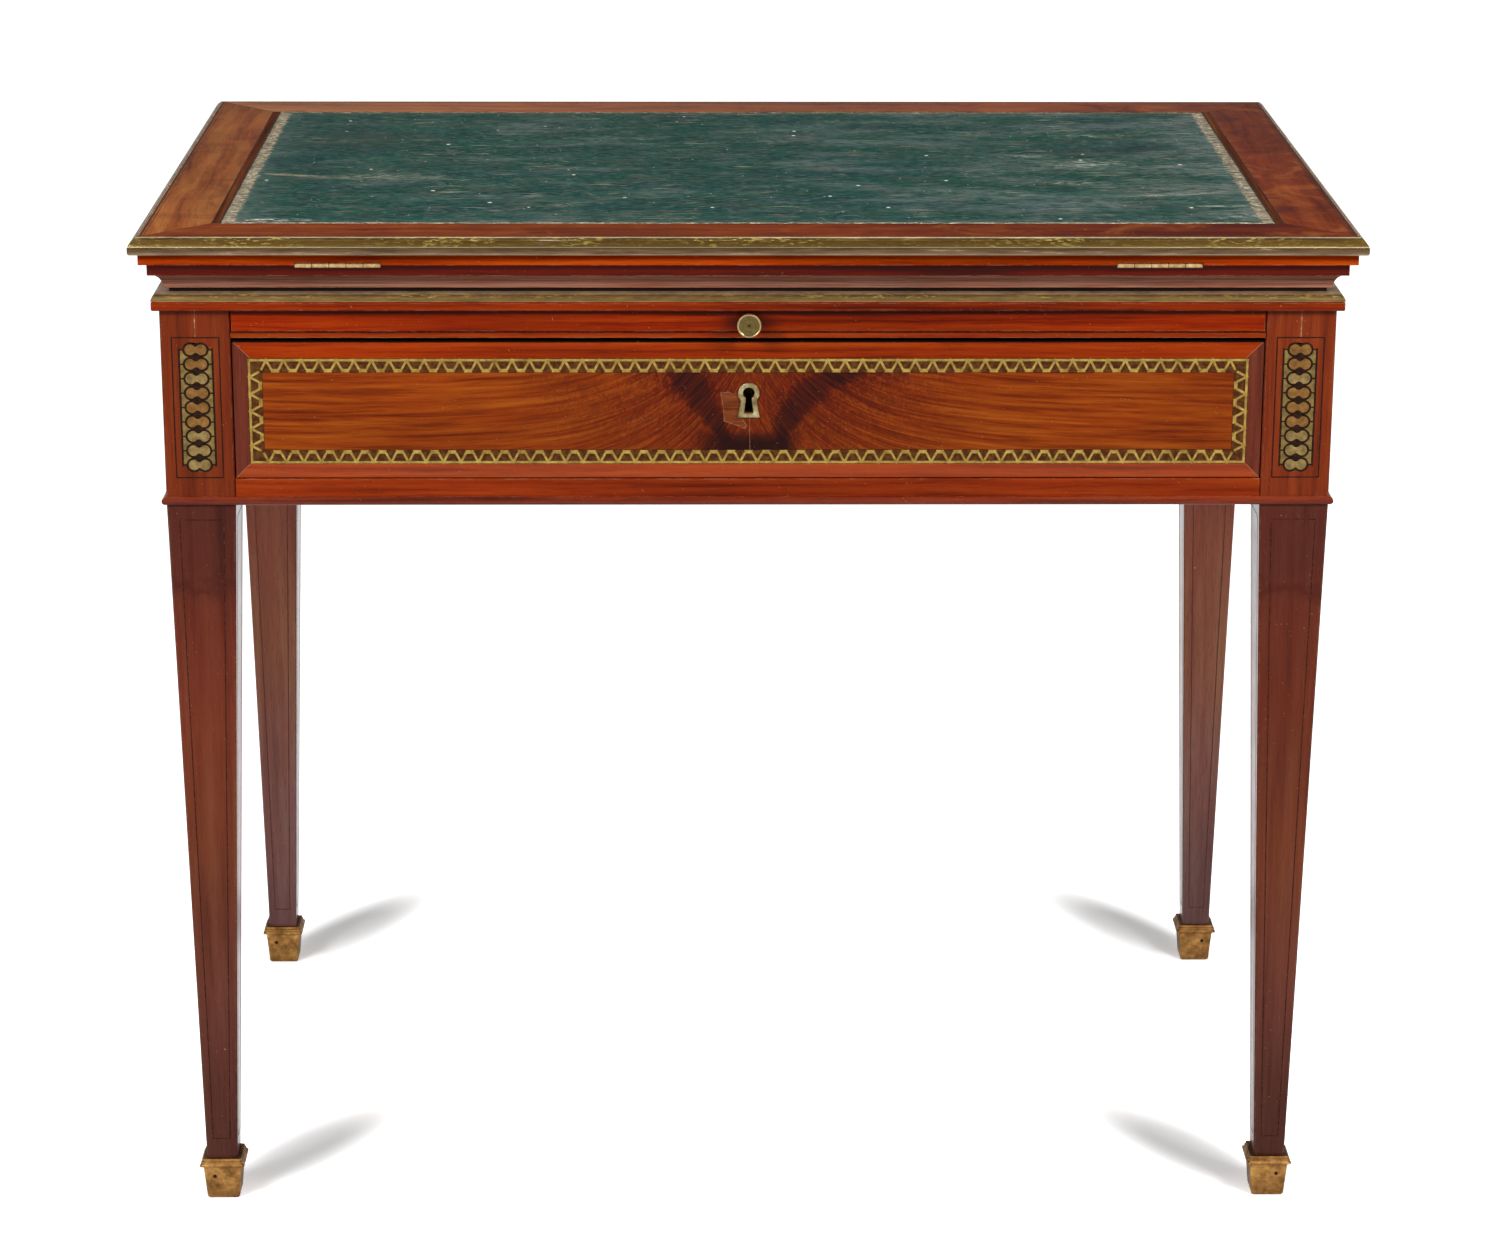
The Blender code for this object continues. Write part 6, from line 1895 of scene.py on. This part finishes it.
@dataclass
class LeatherBoard:
    """The board: mitred border, brass edge, stringing and the tooled leather."""

    # each line round the border: how far in it lies and how wide it is
    # the pale line along the brass rim's top is scuffing and a painted highlight
    rim_scuff_and_highlight_line: Point = (0.0005, 0.0009)
    # the wider dark line inside the pale one is dirt and painted shade; the narrow one is a string
    dark_lines_and_shade: tuple[Point, ...] = ((0.0021, 0.0014), (0.0046, 0.0005))
    arris_depth: float = 0.004
    side_band: float = 0.0062
    side_gap: float = 0.0006
    band_gap: float = 0.0003
    band_inset: float = 0.0001
    string_width: float = 0.0009
    proud: float = 0.00012
    sag: float = 0.00012
    grid: tuple[int, int] = (160, 96)
    wave_count: int = 9
    wave_range: Point = (3, 26)

    def build(self) -> None:
        """Dress the board and lay its leather and strings."""
        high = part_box("board_frame")[1]
        # French-polished mahogany of the border: pale orange, redder toward the right, with painted light
        # leaving the front darker than the rear
        dress(BorderVeneer(
            "polished_border_mahogany", "642C14", "9E5424", "BA7438", mottle=0.35, streak_mm=12.0,
            sway=0.03, reflection=0.0, gloss=0.3, half_x=high.x, half_y=high.y,
            face=high.z - self.arris_depth,
        ), "board_frame")
        dress(OAK_X, "board_core")
        low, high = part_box("board_brass_edge")
        # drawn brass of the board's edge: each facet brown or gold, lit and shaded as painted light, on
        # both sides of a painted highlight along the ridge
        dress(MouldedBrass(
            "drawn_moulding_brass", rubbed_mm=2.2, drawn_mm=34.0, bright="E6D8B0", low=low.z,
            high=high.z,
        ), "board_brass_edge")
        self.build_leather()
        self.build_bands()

    def build_leather(self) -> None:
        """Lay the leather as a fine grid with a slightly uneven face."""
        low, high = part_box("leather_lining")
        half_x, half_y = high.x - self.side_band, high.y - self.side_gap
        mesh = bmesh.new()
        bmesh.ops.create_grid(mesh, x_segments=self.grid[0], y_segments=self.grid[1], size=1.0)
        rng = random.Random(7)
        waves = [(rng.uniform(*self.wave_range), rng.uniform(*self.wave_range), rng.uniform(0, 6.28))
                 for _ in range(self.wave_count)]
        for vert in mesh.verts:
            u, v = vert.co.x, vert.co.y
            wave = sum(math.sin(a * u + b * v + c) for a, b, c in waves) / len(waves)
            vert.co = Vector((u * half_x, v * half_y, high.z - self.sag + self.sag * wave))
        sheet = list(mesh.faces)
        edges = [edge for edge in mesh.edges if edge.is_boundary]
        for item in bmesh.ops.extrude_edge_only(mesh, edges=edges)["geom"]:
            if isinstance(item, bmesh.types.BMVert):
                item.co.z = low.z
        for face in sheet:
            face.smooth = True
        # skiver leather, dyed, waxed and tooled: blue-green and cloudy, dull, with crumbling gold
        skin = TooledLeather("tooled_leather", half_x, half_y)
        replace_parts(new_piece("leather_skin", mesh, skin, "board"), "leather_lining")

    def build_bands(self) -> None:
        """Lay the dark bands at the leather's ends and the strings along the border."""
        low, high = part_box("leather_lining")
        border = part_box("board_frame")[1]

        def place(u: float, v: float, out: float) -> Vector:
            """A place on the board's top."""
            return Vector((u, v, border.z + out))

        bands = Inlay(place, self.proud, border.z - low.z)
        strings, rubbed = Inlay(place, self.proud), Inlay(place, self.proud)
        for hand in (-1, 1):
            ends = (hand * (high.x - self.side_band + self.band_gap), hand * (high.x - self.band_inset))
            bands.plate(rectangle(ends[0], low.y, ends[1], high.y), 0.0)
            for x in ends:
                strings.line(((x, low.y), (x, high.y)), self.string_width)
        # the pale rim line is scuffs and a painted highlight; the wider dark line is dirt and painted
        # shade
        for inlay, lines in ((rubbed, (self.rim_scuff_and_highlight_line,)), (strings, self.dark_lines_and_shade)):
            for inset, width in lines:
                half_x, half_y = border.x - inset, border.y - inset
                inlay.loop(rectangle(-half_x, -half_y, half_x, half_y), width, 0.25)
        rubbed.piece("rim_scuff_and_highlight", PALE_FILLER_AND_HIGHLIGHT, "board", "edge_brass")
        bands.piece("end_bands", END_BAND_WOOD, "board", "border_wood")
        strings.piece("border_strings", DARK_MASTIC_AND_SHADE, "board", "border_wood")


@dataclass
class Studio:
    """Paper floor, soft lamps and the camera."""

    focal_mm: float = 98.84
    sensor_mm: float = 36.0
    camera_place: Triple = (-0.0399, -3.3194, 1.4278)
    pitch: float = 0.301
    yaw: float = 0.0136
    roll: float = -0.003
    view_end: float = 60.0
    floor_half: float = 12.0
    # the room is bright up to just over the horizon and dim above it
    horizon: Point = (0.08, 0.2)
    ceiling: float = 0.15
    room_share: float = 0.5
    lamp_target: Triple = (0.0, 0.0, 0.55)
    # each lamp's place, size and power
    lamps: tuple[tuple[str, Triple, float, float], ...] = (
        ("left_box", (-1.5, -1.6, 1.9), 0.65, 36.0),
        ("right_box", (1.5, -1.6, 1.9), 0.65, 36.0),
        ("top_box", (0.0, 0.3, 3.2), 2.4, 26.0),
    )

    def build(self) -> None:
        """Set up the studio."""
        self.build_floor()
        self.build_lamps()
        self.build_camera()
        self.build_room()
        bpy.context.scene.view_settings.view_transform = "Standard"
        LOG.info("studio ready")

    def show(self, name: str, data: bpy.types.ID) -> bpy.types.Object:
        """Put an object into the scene.

        Args:
            name: its name.
            data: its mesh, lamp or camera.

        Returns:
            The new object.
        """
        item = bpy.data.objects.new(name, data)
        bpy.context.scene.collection.objects.link(item)
        return item

    def build_room(self) -> None:
        """Light the room evenly, and less for the table than for what it mirrors."""
        world = bpy.data.worlds.new("studio_room")
        bpy.context.scene.world = world
        world.use_nodes = True
        graph = Graph(world.node_tree, world.node_tree.nodes["Background"])
        direction = graph.add("TexCoord").node.outputs["Generated"]
        height = graph.add("SeparateXYZ", direction).node.outputs[2]
        glow = graph.add("MapRange", height, *self.horizon, 1.0, self.ceiling)
        diffuse = graph.add("LightPath").node.outputs["Is Diffuse Ray"]
        share = graph.add("MapRange", diffuse, None, None, 1.0, self.room_share)
        strength = graph.add("Math", glow, share, operation="MULTIPLY")
        graph.wire({"Color": "FFFFFF", "Strength": strength})

    def build_floor(self) -> None:
        """Lay the paper."""
        mesh = bmesh.new()
        bmesh.ops.create_grid(mesh, x_segments=1, y_segments=1, size=self.floor_half)
        data = bpy.data.meshes.new("paper_floor")
        mesh.to_mesh(data)
        mesh.free()
        data.materials.append(FLOOR_PAPER.material())
        self.show("paper_floor", data)

    def build_lamps(self) -> None:
        """Hang two soft boxes in front and one above."""
        for name, place, size, power in self.lamps:
            lamp = bpy.data.lights.new(name, "AREA")
            lamp.shape = "SQUARE"
            lamp.size = size
            lamp.energy = power
            holder = self.show(name, lamp)
            holder.location = place
            holder.rotation_mode = "QUATERNION"
            aim = Vector(self.lamp_target) - Vector(place)
            holder.rotation_quaternion = aim.to_track_quat("-Z", "Y")

    def build_camera(self) -> None:
        """Place the camera where the photograph was taken from."""
        forward = Vector((math.sin(self.yaw) * math.cos(self.pitch),
                          math.cos(self.yaw) * math.cos(self.pitch), -math.sin(self.pitch)))
        right = Vector((math.cos(self.yaw), -math.sin(self.yaw), 0.0))
        down = forward.cross(right)
        turned = right * math.cos(self.roll) + down * math.sin(self.roll)
        down = down * math.cos(self.roll) - right * math.sin(self.roll)
        lens = bpy.data.cameras.new("studio_camera")
        lens.lens = self.focal_mm
        lens.sensor_width = self.sensor_mm
        lens.sensor_fit = "HORIZONTAL"
        lens.clip_end = self.view_end
        camera = self.show("studio_camera", lens)
        axes = Matrix((turned, -down, -forward)).transposed().to_4x4()
        camera.matrix_world = Matrix.Translation(self.camera_place) @ axes
        bpy.context.scene.camera = camera


def main() -> None:
    """Build every part of the scene in order."""
    logging.basicConfig(level=logging.INFO, format="%(name)s: %(message)s")
    for part in (
        CaseBody(), Legs(), PostInlays(), WritingSlide(), DrawerFront(), RisingFrame(), LeatherBoard(),
        Studio(),
    ):
        part.build()
        LOG.info("finished %s", type(part).__name__)


if __name__ == "__main__":
    main()
